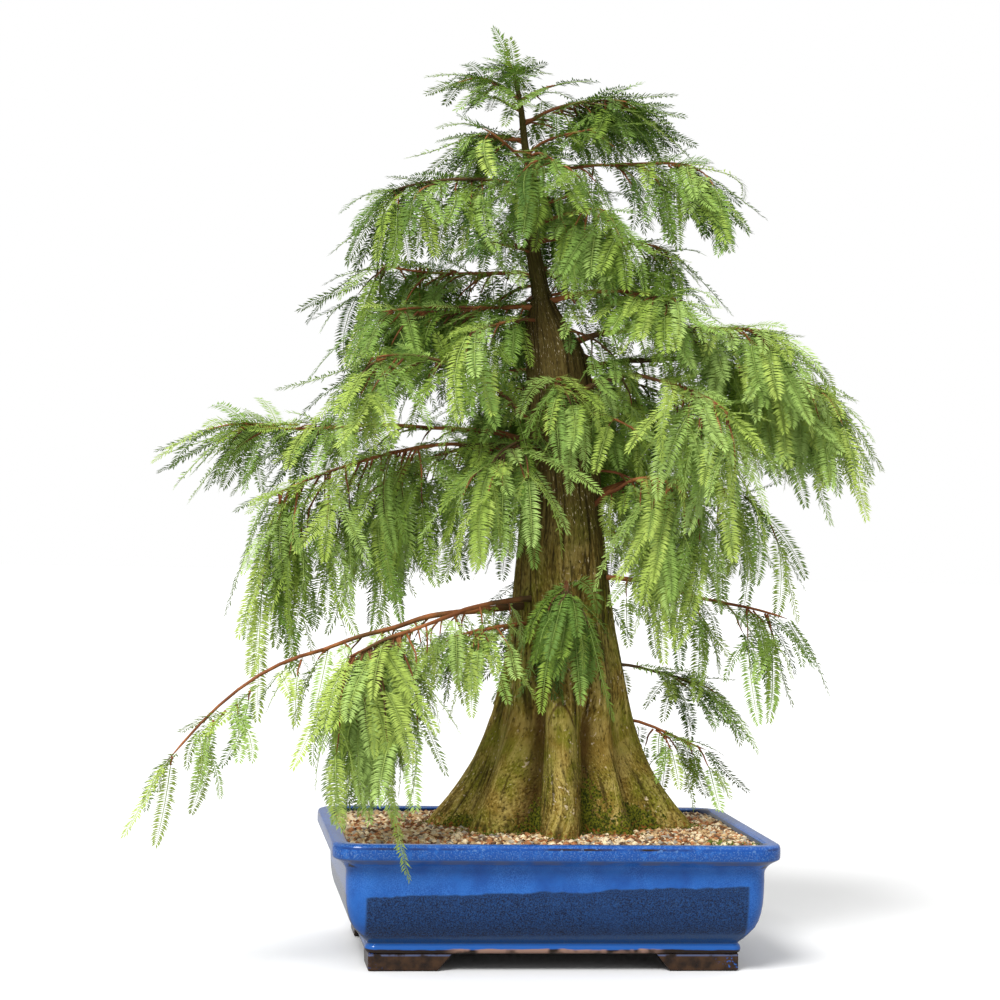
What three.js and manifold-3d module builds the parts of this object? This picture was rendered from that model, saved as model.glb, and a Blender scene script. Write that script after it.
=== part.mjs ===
// A bald cypress grown as a bonsai, standing in a glazed rectangular pot.
// Millimetres, +Z up, the front of the pot towards -Y.
// The origin is on the ground, under the middle of the whole plant.
// A heading is in degrees, seen from above: 0 is +X, 90 is the back, 270 is the front.
import * as THREE from 'three';
import { mergeVertices } from 'three/addons/utils/BufferGeometryUtils.js';
import Module from 'manifold-3d';

const wasm = await Module();
wasm.setup();

// Clear space between pieces that touch
const seatGap = 0.3;

// The pot
const potWidth = 458;
const potDepth = 340;
const potCornerRadius = 32;
const potLeastCornerRadius = 8;
const potCornerTightening = 0.6;
const potCornerSteps = 3;
const potCentre = new THREE.Vector2(30.9, -17.5);

// Height above the ground, and inset from the rim's outer edge, up the outside of the pot
const potOutside = [
  [17.5, 40], [19, 37], [27, 37], [29, 38], [31, 35], [45, 22], [60, 17],
  [76, 15], [104, 15], [112, 10], [117, 0], [130, 0], [132, 2],
];
// The same down the inside, from the rim's top to the floor
const potInside = [[132, 15], [129, 17], [104, 29], [60, 31], [42, 38], [32, 58]];

// The feet: L-shaped brackets, one at each corner, with slanted ends
const footHeight = 18;
const footInset = 39;
const footArmThickness = 24;
const footTopArm = 86;
const footBottomArm = 71;
const footSideShortening = 18;

// The grit in the pot: level at the pot's wall, with a flat crown round the trunk
const soilEdgeHeight = 124.5;
const soilHeight = 127;
const soilCrownInset = 48;

// The trunk, from its flat cut on the grit to the leader's tip
const trunkFoot = soilHeight + seatGap;
const trunkAxis = new THREE.Vector2(potCentre.x + 25, potCentre.y + 11);
const trunkSides = 36;
const leaderSides = 6;

// Height above the cut, and how far the trunk's middle leans to +X and to +Y
const trunkLean = [
  [0, 0, 0], [190, -2, 0], [330, -7, 0], [400, -8, 0], [456, -10, 1], [514, -18, 2], [540, -27, 3],
  [566, -32, 4], [626, -45, 2], [680, -45, -2], [722, -54, -1], [775, -60, 4], [800, -66, 6],
];
// Height above the cut, and the stem's radius without its buttresses
const trunkGirth = [
  [0, 40], [90, 43], [160, 46], [240, 44], [330, 41], [400, 39.5], [455, 37], [514, 31],
  [542, 21], [566, 10.5], [626, 7.5], [680, 5.6], [722, 4.2], [775, 3], [800, 2.4],
];
// Where the broad trunk ends, and where the leader that grows on from it does
const choppedHeight = 566;
const leaderTip = 800;
// The heights of their rings. The leader's root is drawn in, to lie inside the broad trunk.
const broadRises = [0, 16, 38, 66, 100, 134, 144, 200, 270, 350, 430, 470, 514, 540, choppedHeight];
const leaderRises = [540, choppedHeight, 626, 680, 722, 775, leaderTip];
const leaderRootRadius = 9;
// The stretch of the leader's tip that the topmost mass grows on from
const leaderTipStretch = 25;

// The flare at the cut, its share all round, and the height over which it fades
const flareReach = 104;
const flareShareAllRound = 0.16;
const flareFade = 100;
// The buttresses: a heading, a share of the flare and half a width in degrees
const buttresses = [
  { heading: 168, share: 0.9, spread: 27 },
  { heading: 214, share: 0.62, spread: 17 },
  { heading: 262, share: 0.47, spread: 14 },
  { heading: 312, share: 0.4, spread: 16 },
  { heading: 5, share: 0.9, spread: 24 },
  { heading: 62, share: 0.6, spread: 20 },
  { heading: 115, share: 0.72, spread: 21 },
];
// The front buttress stands out as a rounded column, up to a ledge
const column = { heading: 260, spread: 15, reach: 13, ledge: 134, edge: 10 };

// The boughs. from: height on the trunk. tip: heading, distance out from the trunk's foot
// and height. thick: radius at the trunk and at the tip.
const boughs = [
  { name: 'low_left', from: 366, tip: [206, 296, 322], thick: [4.4, 2.2] },
  { name: 'low_left_inner', from: 344, tip: [218, 120, 342], thick: [3.2, 1.9] },
  { name: 'low_left_front', from: 374, tip: [217, 225, 342], thick: [3.8, 2] },
  { name: 'mid_left', from: 536, tip: [176, 150, 552], thick: [4.4, 2.2] },
  { name: 'mid_left_weeping', from: 528, tip: [190, 150, 533], thick: [4, 2] },
  { name: 'mid_left_back', from: 520, tip: [149, 105, 534], thick: [3.8, 2] },
  { name: 'diagonal_left', from: 545, tip: [204, 108, 602], thick: [3.6, 1.9] },
  { name: 'upper_left', from: 682, tip: [178, 82, 682], thick: [4.2, 2] },
  { name: 'high_left', from: 716, tip: [153, 76, 722], thick: [3.4, 1.9] },
  { name: 'top_left', from: 806, tip: [185, 62, 812], thick: [2.8, 1.8] },
  { name: 'top_right', from: 824, tip: [336, 38, 836], thick: [2.8, 1.8] },
  { name: 'upper_right', from: 690, tip: [318, 62, 700], thick: [3.6, 2] },
  { name: 'right_arm', from: 645, tip: [344, 105, 664], thick: [4.4, 2.2] },
  { name: 'right_outer', from: 616, tip: [2, 150, 632], thick: [4.4, 2.2] },
  { name: 'right_front', from: 590, tip: [310, 88, 611], thick: [3.8, 2] },
  { name: 'right_weeping', from: 462, tip: [320, 78, 500], thick: [4, 2] },
  { name: 'right_skirt', from: 480, tip: [14, 90, 503], thick: [4, 2] },
  { name: 'low_right', from: 396, tip: [350, 115, 384], thick: [3.6, 1.9] },
  { name: 'back_low', from: 400, tip: [90, 95, 412], thick: [4, 2] },
  { name: 'back_mid', from: 560, tip: [73, 90, 580], thick: [4, 2] },
];
const boughSides = 4;
const boughSteps = 5;
const boughSunk = 0.5;
// How far a limb's middle rises, as a share of its length
const boughArch = 0.04;
const stemBend = 0.35;

// The masses of foliage. on: the bough that carries it, or from: its height on the trunk.
// end: heading, distance out and height of its furthest spray. shoots: how many leave its
// stem. reach: their length. hang: how far they turn to straight down, 0 to 1. spray: the
// length of the spray of needles that ends a shoot.
const masses = [
  { name: 'low_left_tail', on: 'low_left', end: [205, 506, 186],
    shoots: 5, reach: 35, hang: 0.7, spray: 80 },
  { name: 'low_left_curtain', on: 'low_left_front', end: [216, 352, 302],
    shoots: 10, reach: 110, hang: 1, spray: 120 },
  { name: 'low_left_inner', on: 'low_left_inner', end: [215, 200, 330],
    shoots: 5, reach: 30, hang: 0.6, spray: 70 },
  { name: 'mid_left', on: 'mid_left', end: [176, 425, 552], shoots: 7, reach: 60, hang: 0.35, spray: 95 },
  { name: 'mid_left_weeping', on: 'mid_left_weeping', end: [187, 372, 458],
    shoots: 10, reach: 115, hang: 1, spray: 130 },
  { name: 'mid_left_back', on: 'mid_left_back', end: [147, 290, 475],
    shoots: 7, reach: 75, hang: 0.7, spray: 125 },
  { name: 'diagonal_left', on: 'diagonal_left', end: [199, 300, 630],
    shoots: 7, reach: 60, hang: 0.6, spray: 105 },
  { name: 'near_left', from: 548, end: [222, 185, 490], shoots: 7, reach: 70, hang: 0.8, spray: 120 },
  { name: 'upper_left', on: 'upper_left', end: [180, 275, 668],
    shoots: 7, reach: 60, hang: 0.6, spray: 105 },
  { name: 'upper_left_front', from: 668, end: [216, 206, 636],
    shoots: 6, reach: 60, hang: 0.7, spray: 105 },
  { name: 'high_left', on: 'high_left', end: [154, 292, 738], shoots: 7, reach: 60, hang: 0.6, spray: 100 },
  { name: 'top_left', on: 'top_left', end: [184, 262, 794], shoots: 7, reach: 55, hang: 0.6, spray: 95 },
  { name: 'crown_left_low', from: 862, end: [168, 152, 868], shoots: 6, reach: 38, hang: 0.4, spray: 78 },
  { name: 'crown_left', from: 905, end: [183, 145, 946], shoots: 5, reach: 30, hang: 0.2, spray: 62 },
  { name: 'apex', on: 'leader', end: [178, 78, 960], shoots: 4, reach: 15, hang: 0.1, spray: 40 },
  { name: 'crown_right', from: 878, end: [350, 108, 924], shoots: 10, reach: 62, hang: 0.4, spray: 85 },
  { name: 'top_right', on: 'top_right', end: [342, 188, 836], shoots: 7, reach: 60, hang: 0.6, spray: 100 },
  { name: 'crown_front', from: 842, end: [262, 130, 822], shoots: 6, reach: 55, hang: 0.6, spray: 90 },
  { name: 'top_right_front', from: 770, end: [300, 126, 788], shoots: 6, reach: 55, hang: 0.7, spray: 95 },
  { name: 'high_right', from: 752, end: [13, 178, 748], shoots: 6, reach: 50, hang: 0.6, spray: 95 },
  { name: 'upper_right', on: 'upper_right', end: [315, 190, 676],
    shoots: 6, reach: 45, hang: 0.4, spray: 85 },
  { name: 'right_arm', on: 'right_arm', end: [346, 275, 660], shoots: 7, reach: 60, hang: 0.6, spray: 105 },
  { name: 'right_outer', on: 'right_outer', end: [358, 336, 590],
    shoots: 8, reach: 70, hang: 0.7, spray: 108 },
  { name: 'right_front', on: 'right_front', end: [315, 259, 550],
    shoots: 8, reach: 75, hang: 0.9, spray: 125 },
  { name: 'right_weeping', on: 'right_weeping', end: [322, 200, 480],
    shoots: 8, reach: 100, hang: 1, spray: 130 },
  { name: 'right_skirt', on: 'right_skirt', end: [7, 265, 476],
    shoots: 7, reach: 75, hang: 0.8, spray: 120 },
  { name: 'low_right', on: 'low_right', end: [350, 285, 345], shoots: 6, reach: 50, hang: 0.8, spray: 90 },
  { name: 'low_right_back', from: 300, end: [9, 198, 278], shoots: 5, reach: 50, hang: 0.5, spray: 90 },
  { name: 'lowest_right', from: 240, end: [9, 202, 200], shoots: 5, reach: 35, hang: 0.7, spray: 65 },
  { name: 'front_low', from: 396, end: [264, 118, 365], shoots: 7, reach: 45, hang: 0.8, spray: 95 },
  { name: 'front_mid', from: 610, end: [254, 121, 580], shoots: 5, reach: 40, hang: 0.7, spray: 90 },
  { name: 'back_low', on: 'back_low', end: [88, 215, 362], shoots: 8, reach: 55, hang: 0.8, spray: 125 },
  { name: 'back_mid', on: 'back_mid', end: [68, 250, 545], shoots: 8, reach: 85, hang: 0.8, spray: 125 },
  { name: 'back_upper', from: 700, end: [98, 212, 660], shoots: 7, reach: 70, hang: 0.7, spray: 110 },
  { name: 'back_top', from: 812, end: [83, 150, 785], shoots: 7, reach: 55, hang: 0.7, spray: 100 },
  { name: 'right_near', from: 608, end: [338, 128, 560], shoots: 6, reach: 42, hang: 0.8, spray: 90 },
  { name: 'back_mid_left', from: 600, end: [118, 210, 580], shoots: 7, reach: 70, hang: 0.8, spray: 120 },
];

// How a mass grows: its stem, and the shoots that leave it
const firstSeed = 41;
const seedStep = 17;
const stemArch = 0.06;
const stemRadius = 3.4;
const stemTipRadius = 2.4;
const stemSteps = 4;
const shortestStem = 0.5;
const shootRadius = 1.3;
const shootTipRadius = 1.1;
const shootSteps = 2;
// Where along its stem, as shares of it, a mass's first and last shoots may leave
const firstShootAt = 0.06;
const lastShootAt = 0.98;
const goldenShare = 0.618;
const triesPerShoot = 30;
// A shoot's turn off its stem, its rise where it sets off, its length as a share of the
// mass's reach, and its roll and its stem's, in degrees
const shootTurn = [15, 110];
const shootRise = [-25, 35];
const shootLengthShare = [0.4, 1.1];
const shootRoll = [-55, 55];
const stemRoll = [-20, 20];
const steepest = -86;
// How far a hanging spray turns on towards straight down, at a stem's tip and at a shoot's
const leadingDroop = 0.6;
const shootDroop = 0.4;

// The spray of needles that ends a shoot is a toothed blade. Its edge, from tooth to tooth:
// a share of its length, and a share of half its width.
const sprayOutline = [[0.32, 1], [0.44, 0.4], [0.74, 0.8]];
const sprayWidthShare = 0.42;
const sprayThickShare = 0.018;
const sprayShares = [1, 0.8, 0.6];
// Near its root a shoot may crowd the others. Past it they keep apart by a share of their
// half widths.
const crowdedRoot = 24;
const elbowShare = 0.6;
const sprayRoomShare = 0.7;

// How a mass keeps to its space
const spaceMargin = 1.5;
const clearance = 2.5;
const probeStep = 12;

// Bark, needles, glaze and grit
const bark = new THREE.MeshStandardMaterial({ color: 0x5b5038, roughness: 0.9, metalness: 0 });
const twigBark = new THREE.MeshStandardMaterial({ color: 0x8a5638, roughness: 0.8, metalness: 0 });
const needles = new THREE.MeshStandardMaterial({ color: 0x5f8a3c, roughness: 0.7, metalness: 0 });
const glaze = new THREE.MeshStandardMaterial({ color: 0x2c63b0, roughness: 0.2, metalness: 0 });
const grit = new THREE.MeshStandardMaterial({ color: 0xb09a78, roughness: 1, metalness: 0 });

const degrees = THREE.MathUtils.degToRad;
const mix = THREE.MathUtils.lerp;

// The numbers after the first in each row, worked out between the rows by straight lines
function between(rows, at) {
  if (at <= rows[0][0]) return rows[0].slice(1);
  for (let i = 1; i < rows.length; i += 1) {
    const [low, high] = [rows[i - 1], rows[i]];
    if (at <= high[0]) {
      const share = (at - low[0]) / (high[0] - low[0]);
      return low.slice(1).map((value, k) => mix(value, high[k + 1], share));
    }
  }
  return rows[rows.length - 1].slice(1);
}

// A seeded source of numbers between a low and a high value
function randomStream(seed) {
  const modulus = 4294967296;
  let state = seed;
  return (low, high) => {
    state = (state * 1664525 + 1013904223) % modulus;
    return mix(low, high, state / modulus);
  };
}

// A geometry as a solid, and a solid as a geometry
function asSolid(geometry) {
  const bare = geometry.clone();
  bare.deleteAttribute('normal');
  bare.deleteAttribute('uv');
  const merged = mergeVertices(bare, 1e-3);
  return new wasm.Manifold(new wasm.Mesh({
    numProp: 3,
    vertProperties: new Float32Array(merged.attributes.position.array),
    triVerts: new Uint32Array(merged.index.array),
  }));
}

function asGeometry(solid) {
  const mesh = solid.getMesh();
  const geometry = new THREE.BufferGeometry();
  geometry.setAttribute('position', new THREE.BufferAttribute(mesh.vertProperties, 3));
  geometry.setIndex(new THREE.BufferAttribute(mesh.triVerts, 1));
  geometry.computeVertexNormals();
  return geometry;
}

function closedMesh(points, triangles) {
  const geometry = new THREE.BufferGeometry();
  geometry.setAttribute('position', new THREE.Float32BufferAttribute(points.flat(), 3));
  geometry.setIndex(triangles.flat());
  return geometry;
}

// Rings of equal length joined into one closed skin, with a flat cap at each end
function loft(rings) {
  const count = rings[0].length;
  const triangles = [];
  for (let level = 1; level < rings.length; level += 1) {
    for (let i = 0; i < count; i += 1) {
      const next = (i + 1) % count;
      const [below, above] = [(level - 1) * count, level * count];
      triangles.push([below + i, below + next, above + next], [below + i, above + next, above + i]);
    }
  }
  const top = (rings.length - 1) * count;
  for (let i = 1; i < count - 1; i += 1) {
    triangles.push([0, i + 1, i], [top, top + i, top + i + 1]);
  }
  return closedMesh(rings.flat(), triangles);
}

// One level of the pot: a rectangle with round corners, inset from the rim's edge
function potRing(height, inset) {
  const halfWidth = potWidth / 2 - inset;
  const halfDepth = potDepth / 2 - inset;
  const radius = Math.max(potLeastCornerRadius, potCornerRadius - inset * potCornerTightening);
  const ring = [];
  for (let corner = 0; corner < 4; corner += 1) {
    const right = corner === 0 || corner === 3 ? 1 : -1;
    const back = corner < 2 ? 1 : -1;
    for (let step = 0; step <= potCornerSteps; step += 1) {
      const turn = degrees(90 * (corner + step / potCornerSteps));
      ring.push([
        potCentre.x + right * (halfWidth - radius) + radius * Math.cos(turn),
        potCentre.y + back * (halfDepth - radius) + radius * Math.sin(turn),
        height,
      ]);
    }
  }
  return ring;
}

// One foot at the corner that lies towards right and back, each 1 or -1
function footSolid(right, back) {
  const outerX = potWidth / 2 - footInset;
  const outerY = potDepth / 2 - footInset;
  const level = (height, arm) => {
    const side = arm - footSideShortening;
    const outline = [
      [outerX, outerY], [outerX - arm, outerY], [outerX - arm, outerY - footArmThickness],
      [outerX - footArmThickness, outerY - footArmThickness],
      [outerX - footArmThickness, outerY - side], [outerX, outerY - side],
    ];
    const placed = outline.map(([x, y]) => [potCentre.x + right * x, potCentre.y + back * y, height]);
    return right * back > 0 ? placed : placed.reverse();
  };
  return asSolid(loftOverL(level(0, footBottomArm), level(footHeight, footTopArm)));
}

// Two L-shaped levels joined, each capped by two quadrilaterals that share the L's inner corner
function loftOverL(low, high) {
  const skin = loft([low, high]);
  const sides = Array.from(skin.index.array).slice(0, low.length * 6);
  const inner = 3;
  const lowCap = [];
  const highCap = [];
  for (let i = 1; i < low.length - 1; i += 1) {
    const [a, b] = [(inner + i) % low.length, (inner + i + 1) % low.length];
    lowCap.push(inner, b, a);
    highCap.push(inner + low.length, a + low.length, b + low.length);
  }
  skin.setIndex([...sides, ...lowCap, ...highCap]);
  return skin;
}

function potSolid() {
  const rings = [...potOutside, ...potInside].map(([height, inset]) => potRing(height, inset));
  let solid = asSolid(loft(rings));
  for (const right of [1, -1]) {
    for (const back of [1, -1]) {
      solid = solid.add(footSolid(right, back));
    }
  }
  return solid;
}

function soilSolid() {
  const inside = [...potInside].reverse().filter(([height]) => height < soilEdgeHeight);
  const levels = inside.map(([height, inset], i) => [height + (i === 0 ? seatGap : 0), inset + seatGap]);
  const [edgeInset] = between([...potInside].reverse(), soilEdgeHeight);
  levels.push([soilEdgeHeight, edgeInset + seatGap], [soilHeight, soilCrownInset]);
  return asSolid(loft(levels.map(([height, inset]) => potRing(height, inset))));
}

// How near a heading is to a buttress: 1 at its middle, and less to both sides
function nearness(heading, buttress) {
  const away = THREE.MathUtils.euclideanModulo(heading - buttress.heading + 180, 360) - 180;
  return Math.exp(-((away / buttress.spread) ** 2));
}

// How far the buttresses reach past the stem, at a height above the cut and a heading
function flare(rise, heading) {
  let share = flareShareAllRound;
  for (const buttress of buttresses) {
    share += buttress.share * nearness(heading, buttress);
  }
  const columnShare = 1 - THREE.MathUtils.smoothstep(rise, column.ledge, column.ledge + column.edge);
  const proud = column.reach * columnShare * nearness(heading, column);
  return flareReach * share * Math.exp(-rise / flareFade) + proud;
}

function trunkMiddle(height) {
  const [leanX, leanY] = between(trunkLean, height - trunkFoot);
  return new THREE.Vector3(trunkAxis.x + leanX, trunkAxis.y + leanY, height);
}

function trunkRadius(height, heading) {
  const rise = height - trunkFoot;
  const [girth] = between(trunkGirth, rise);
  return rise < choppedHeight ? girth + flare(rise, heading) : girth;
}

function trunkRing(height, sides, extra) {
  const middle = trunkMiddle(height);
  const ring = [];
  for (let i = 0; i < sides; i += 1) {
    const heading = (360 * i) / sides;
    const radius = trunkRadius(height, heading) + extra;
    const turn = degrees(heading);
    ring.push([middle.x + radius * Math.cos(turn), middle.y + radius * Math.sin(turn), height]);
  }
  return ring;
}

// The trunk up to the old cut, and the leader that grows on from inside its top
function trunkSolid(extra) {
  const broad = broadRises.map((rise) => trunkRing(trunkFoot + rise, trunkSides, extra));
  const leader = leaderRises.map((rise) => trunkRing(trunkFoot + rise, leaderSides, extra));
  leader[0] = shrunk(leader[0], trunkMiddle(trunkFoot + leaderRises[0]), leaderRootRadius + extra);
  return asSolid(loft(broad)).add(asSolid(loft(leader)));
}

// A ring drawn in to a given radius round its middle
function shrunk(ring, middle, radius) {
  return ring.map(([x, y, z]) => {
    const out = new THREE.Vector2(x - middle.x, y - middle.y).setLength(radius);
    return [middle.x + out.x, middle.y + out.y, z];
  });
}

// A place given by its heading and distance from the trunk's foot, and its height
function place([heading, out, height]) {
  const turn = degrees(heading);
  return new THREE.Vector3(trunkAxis.x + out * Math.cos(turn), trunkAxis.y + out * Math.sin(turn), height);
}

function direction(heading, elevation) {
  const level = Math.cos(degrees(elevation));
  return new THREE.Vector3(
    level * Math.cos(degrees(heading)),
    level * Math.sin(degrees(heading)),
    Math.sin(degrees(elevation)),
  );
}

function headingOf(vector) {
  return THREE.MathUtils.radToDeg(Math.atan2(vector.y, vector.x));
}

// Points on an arc from start to end whose middle rises by arch
function archedPath(start, end, arch, steps) {
  const middle = start.clone().lerp(end, 0.5);
  middle.z += 2 * arch;
  return new THREE.QuadraticBezierCurve3(start, middle, end).getPoints(steps);
}

// Points on a shoot that sets off one way and turns towards straight down by its share of hang
function droopingPath(start, heading, elevation, length, hang, steps) {
  const path = [start.clone()];
  for (let i = 1; i <= steps; i += 1) {
    const turned = hang * Math.sin((Math.PI / 2) * (i / steps));
    const step = direction(heading, mix(elevation, steepest, turned));
    path.push(path[i - 1].clone().addScaledVector(step, length / steps));
  }
  return path;
}

// A tapering limb along a path: a cylinder bent to follow it
function limbSolid(path, baseRadius, tipRadius, sides) {
  const steps = path.length - 1;
  const run = path[steps].clone().sub(path[0]);
  const across = new THREE.Vector3(-run.y, run.x, 0).normalize();
  const geometry = new THREE.CylinderGeometry(1, 1, 1, sides, steps);
  const position = geometry.attributes.position;
  for (let i = 0; i < position.count; i += 1) {
    const station = Math.round((position.getY(i) + 0.5) * steps);
    const [before, after] = [path[Math.max(station - 1, 0)], path[Math.min(station + 1, steps)]];
    const ahead = after.clone().sub(before).normalize();
    const side = across.clone().addScaledVector(ahead, -across.dot(ahead)).normalize();
    const up = side.clone().cross(ahead);
    const radius = mix(baseRadius, tipRadius, station / steps);
    const point = path[station].clone();
    point.addScaledVector(side, radius * position.getX(i));
    point.addScaledVector(up, radius * position.getZ(i));
    position.setXYZ(i, point.x, point.y, point.z);
  }
  return asSolid(geometry);
}

// The side and face of a flat shoot that points ahead and lies along a heading, turned by
// its roll round the way it points
function shootFrame(ahead, heading, roll) {
  const level = direction(heading + 90, 0);
  level.addScaledVector(ahead, -level.dot(ahead)).normalize();
  const over = new THREE.Vector3().crossVectors(ahead, level);
  const side = level.multiplyScalar(Math.cos(degrees(roll))).addScaledVector(over, Math.sin(degrees(roll)));
  return { side, face: new THREE.Vector3().crossVectors(ahead, side) };
}

// A shoot: a path, the heading that it lies along, its roll, and the spray at its end
function makeShoot(path, heading, roll, sprayLength, droop) {
  const [before, root] = path.slice(-2);
  const ahead = root.clone().sub(before).normalize();
  ahead.lerp(new THREE.Vector3(0, 0, -1), droop).normalize();
  const { side, face } = shootFrame(ahead, heading, roll);
  const halfWidth = (sprayLength * sprayWidthShare) / 2;
  const at = (share, out, lift) => root.clone()
    .addScaledVector(ahead, share * sprayLength)
    .addScaledVector(side, out * halfWidth)
    .addScaledVector(face, lift * sprayLength * sprayThickShare);
  return {
    path,
    heading,
    roll,
    halfWidth,
    root,
    rib: at(sprayOutline[1][0], 0, 0.5),
    left: sprayOutline.map(([share, out]) => at(share, out, -0.5)),
    right: sprayOutline.map(([share, out]) => at(share, -out, -0.5)),
    tip: at(1, 0, -0.5),
  };
}

// A three-sided tube along the shoot's path, which goes on as its spray
function shootSolid(shoot, baseRadius, tipRadius) {
  const { path, rib, left, right, tip } = shoot;
  const points = [];
  const triangles = [[0, 2, 1]];
  path.forEach((point, i) => {
    const ahead = path[Math.min(i + 1, path.length - 1)].clone().sub(path[Math.max(i - 1, 0)]).normalize();
    const { side, face } = shootFrame(ahead, shoot.heading, shoot.roll);
    const radius = mix(baseRadius, tipRadius, i / (path.length - 1));
    for (const turn of [90, 210, 330]) {
      const corner = point.clone().addScaledVector(side, radius * Math.cos(degrees(turn)));
      points.push(corner.addScaledVector(face, radius * Math.sin(degrees(turn))));
    }
    for (let k = 0; k < 3 && i > 0; k += 1) {
      const [a, b] = [3 * i - 3 + k, 3 * i - 3 + ((k + 1) % 3)];
      triangles.push([a, b, b + 3], [a, b + 3, a + 3]);
    }
  });
  // The last ring: its rib side, and the corners to the right and left of it
  const ring = points.length - 3;
  const [top, r0, l0] = [ring, ring + 1, ring + 2];
  points.push(rib, ...left, ...right, tip);
  const [middle, l1, l2, l3, r1, r2, r3, end] = Array.from({ length: 8 }, (_, i) => ring + 3 + i);
  triangles.push(
    [top, middle, l0], [middle, l1, l0], [middle, l2, l1], [middle, l3, l2], [middle, end, l3],
    [top, r0, middle], [middle, r0, r1], [middle, r1, r2], [middle, r2, r3], [middle, r3, end],
    [l0, l1, l2], [r0, r2, r1], [l0, l2, r0], [r0, l2, r2], [l2, l3, end], [l2, end, r2], [r2, end, r3],
  );
  return asSolid(closedMesh(points.map((point) => point.toArray()), triangles));
}

// Where a limb sets off inside the trunk, towards a given end
function startInTrunk(height, end) {
  const start = trunkMiddle(height);
  const heading = headingOf(end.clone().sub(start));
  return start.addScaledVector(direction(heading, 0), boughSunk * trunkRadius(height, heading));
}

function boughPath(bough) {
  const tip = place(bough.tip);
  const start = startInTrunk(bough.from, tip);
  return archedPath(start, tip, boughArch * start.distanceTo(tip), boughSteps);
}

// Where a stem ends: short of the furthest place by what the spray at its own tip reaches
function stemEnd(start, furthest, { spray, hang }) {
  const reach = spray * (1 - leadingDroop * hang);
  const share = 1 - reach / start.distanceTo(furthest);
  return start.clone().lerp(furthest, Math.max(shortestStem, share));
}

// A mass's stem: it goes on from its bough's tip, or starts in the trunk
function stemPath(mass) {
  const furthest = place(mass.end);
  if (!mass.on) {
    const start = startInTrunk(mass.from, furthest);
    const end = stemEnd(start, furthest, mass);
    return archedPath(start, end, stemArch * start.distanceTo(end), stemSteps);
  }
  const [before, tip] = boughPaths.get(mass.on).slice(-2);
  const ahead = tip.clone().sub(before).normalize();
  const start = tip.clone().addScaledVector(ahead, seatGap);
  const end = stemEnd(start, furthest, mass);
  const bend = start.clone().addScaledVector(ahead, start.distanceTo(end) * stemBend);
  return new THREE.QuadraticBezierCurve3(start, bend, end).getPoints(stemSteps);
}

const boughPaths = new Map(boughs.map((bough) => [bough.name, boughPath(bough)]));
boughPaths.set(
  'leader',
  [leaderTip - leaderTipStretch, leaderTip].map((rise) => trunkMiddle(trunkFoot + rise)),
);
const stems = masses.map(stemPath);

// The places that a mass's space lies round: its stem and first spray, and below them
// where its twigs hang
const spaceMarks = masses.map((mass, i) => {
  const stem = stems[i];
  const end = stem[stemSteps];
  const ahead = end.clone().sub(stem[stemSteps - 1]).normalize();
  const line = [...stem, end.clone().addScaledVector(ahead, mass.spray * 0.5)];
  const drop = (mass.reach + mass.spray / 2) * mass.hang * 0.5;
  return [...line, ...line.slice(2).map((point) => point.clone().setZ(point.z - drop))];
});

function nearest(point, marks) {
  return Math.min(...marks.map((mark) => mark.distanceTo(point)));
}

// Whether a point lies in a mass's own space, nearer to its marks than to any other's
function inSpace(point, own) {
  const near = nearest(point, spaceMarks[own]) + 2 * spaceMargin;
  return spaceMarks.every((marks, i) => i === own || nearest(point, marks) > near);
}

function clearOfBoughs(point, room) {
  const foot = new THREE.Vector3();
  for (const bough of boughs) {
    const path = boughPaths.get(bough.name);
    for (let i = 0; i < boughSteps; i += 1) {
      new THREE.Line3(path[i], path[i + 1]).closestPointToPoint(point, true, foot);
      if (foot.distanceTo(point) < bough.thick[0] + room + clearance) return false;
    }
  }
  return true;
}

function clearOfTrunk(point, room) {
  const middle = trunkMiddle(point.z);
  const away = point.clone().sub(middle).setZ(0);
  const overTip = point.z > trunkFoot + leaderTip + room;
  return overTip || away.length() > trunkRadius(point.z, headingOf(away)) + room + clearance;
}

function clearOfPot(point, room) {
  const rimTop = potInside[0][0];
  const overPot = Math.abs(point.x - potCentre.x) < potWidth / 2 + room + clearance
    && Math.abs(point.y - potCentre.y) < potDepth / 2 + room + clearance;
  return point.z > (overPot ? rimTop : 0) + room + clearance;
}

// Whether a point, and the room it needs round it, keeps to a mass's space
function fits(point, room, own) {
  return inSpace(point, own) && clearOfTrunk(point, room) && clearOfPot(point, room)
    && clearOfBoughs(point, room);
}

// Points along a shoot's path and the rib of its spray, each with the room round it
function probesOf({ path, root, tip, halfWidth }) {
  const probes = [];
  const addStretch = (from, to, roomAt) => {
    const count = Math.ceil(from.distanceTo(to) / probeStep);
    for (let k = 1; k <= count; k += 1) {
      probes.push({ point: from.clone().lerp(to, k / count), room: roomAt(k / count) });
    }
  };
  path.slice(1).forEach((point, i) => addStretch(path[i], point, () => shootRadius));
  addStretch(root, tip, (share) => sprayRoomShare * halfWidth * Math.min(1, share / sprayOutline[0][0]));
  return probes;
}

// Whether a shoot keeps to its mass's space, and apart from the mass's other shoots
function shootFits(shoot, probes, own, others) {
  if (!probes.every(({ point, room }) => fits(point, room, own))) return false;
  if (![...shoot.left, ...shoot.right].every((corner) => fits(corner, 0, own))) return false;
  const free = probes.filter(({ point }) => point.distanceTo(shoot.path[0]) > crowdedRoot);
  return others.every((other) => free.every(({ point, room }) => other.probes.every(
    (taken) => taken.point.distanceTo(point) > (taken.room + room) * elbowShare + clearance,
  )));
}

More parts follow.
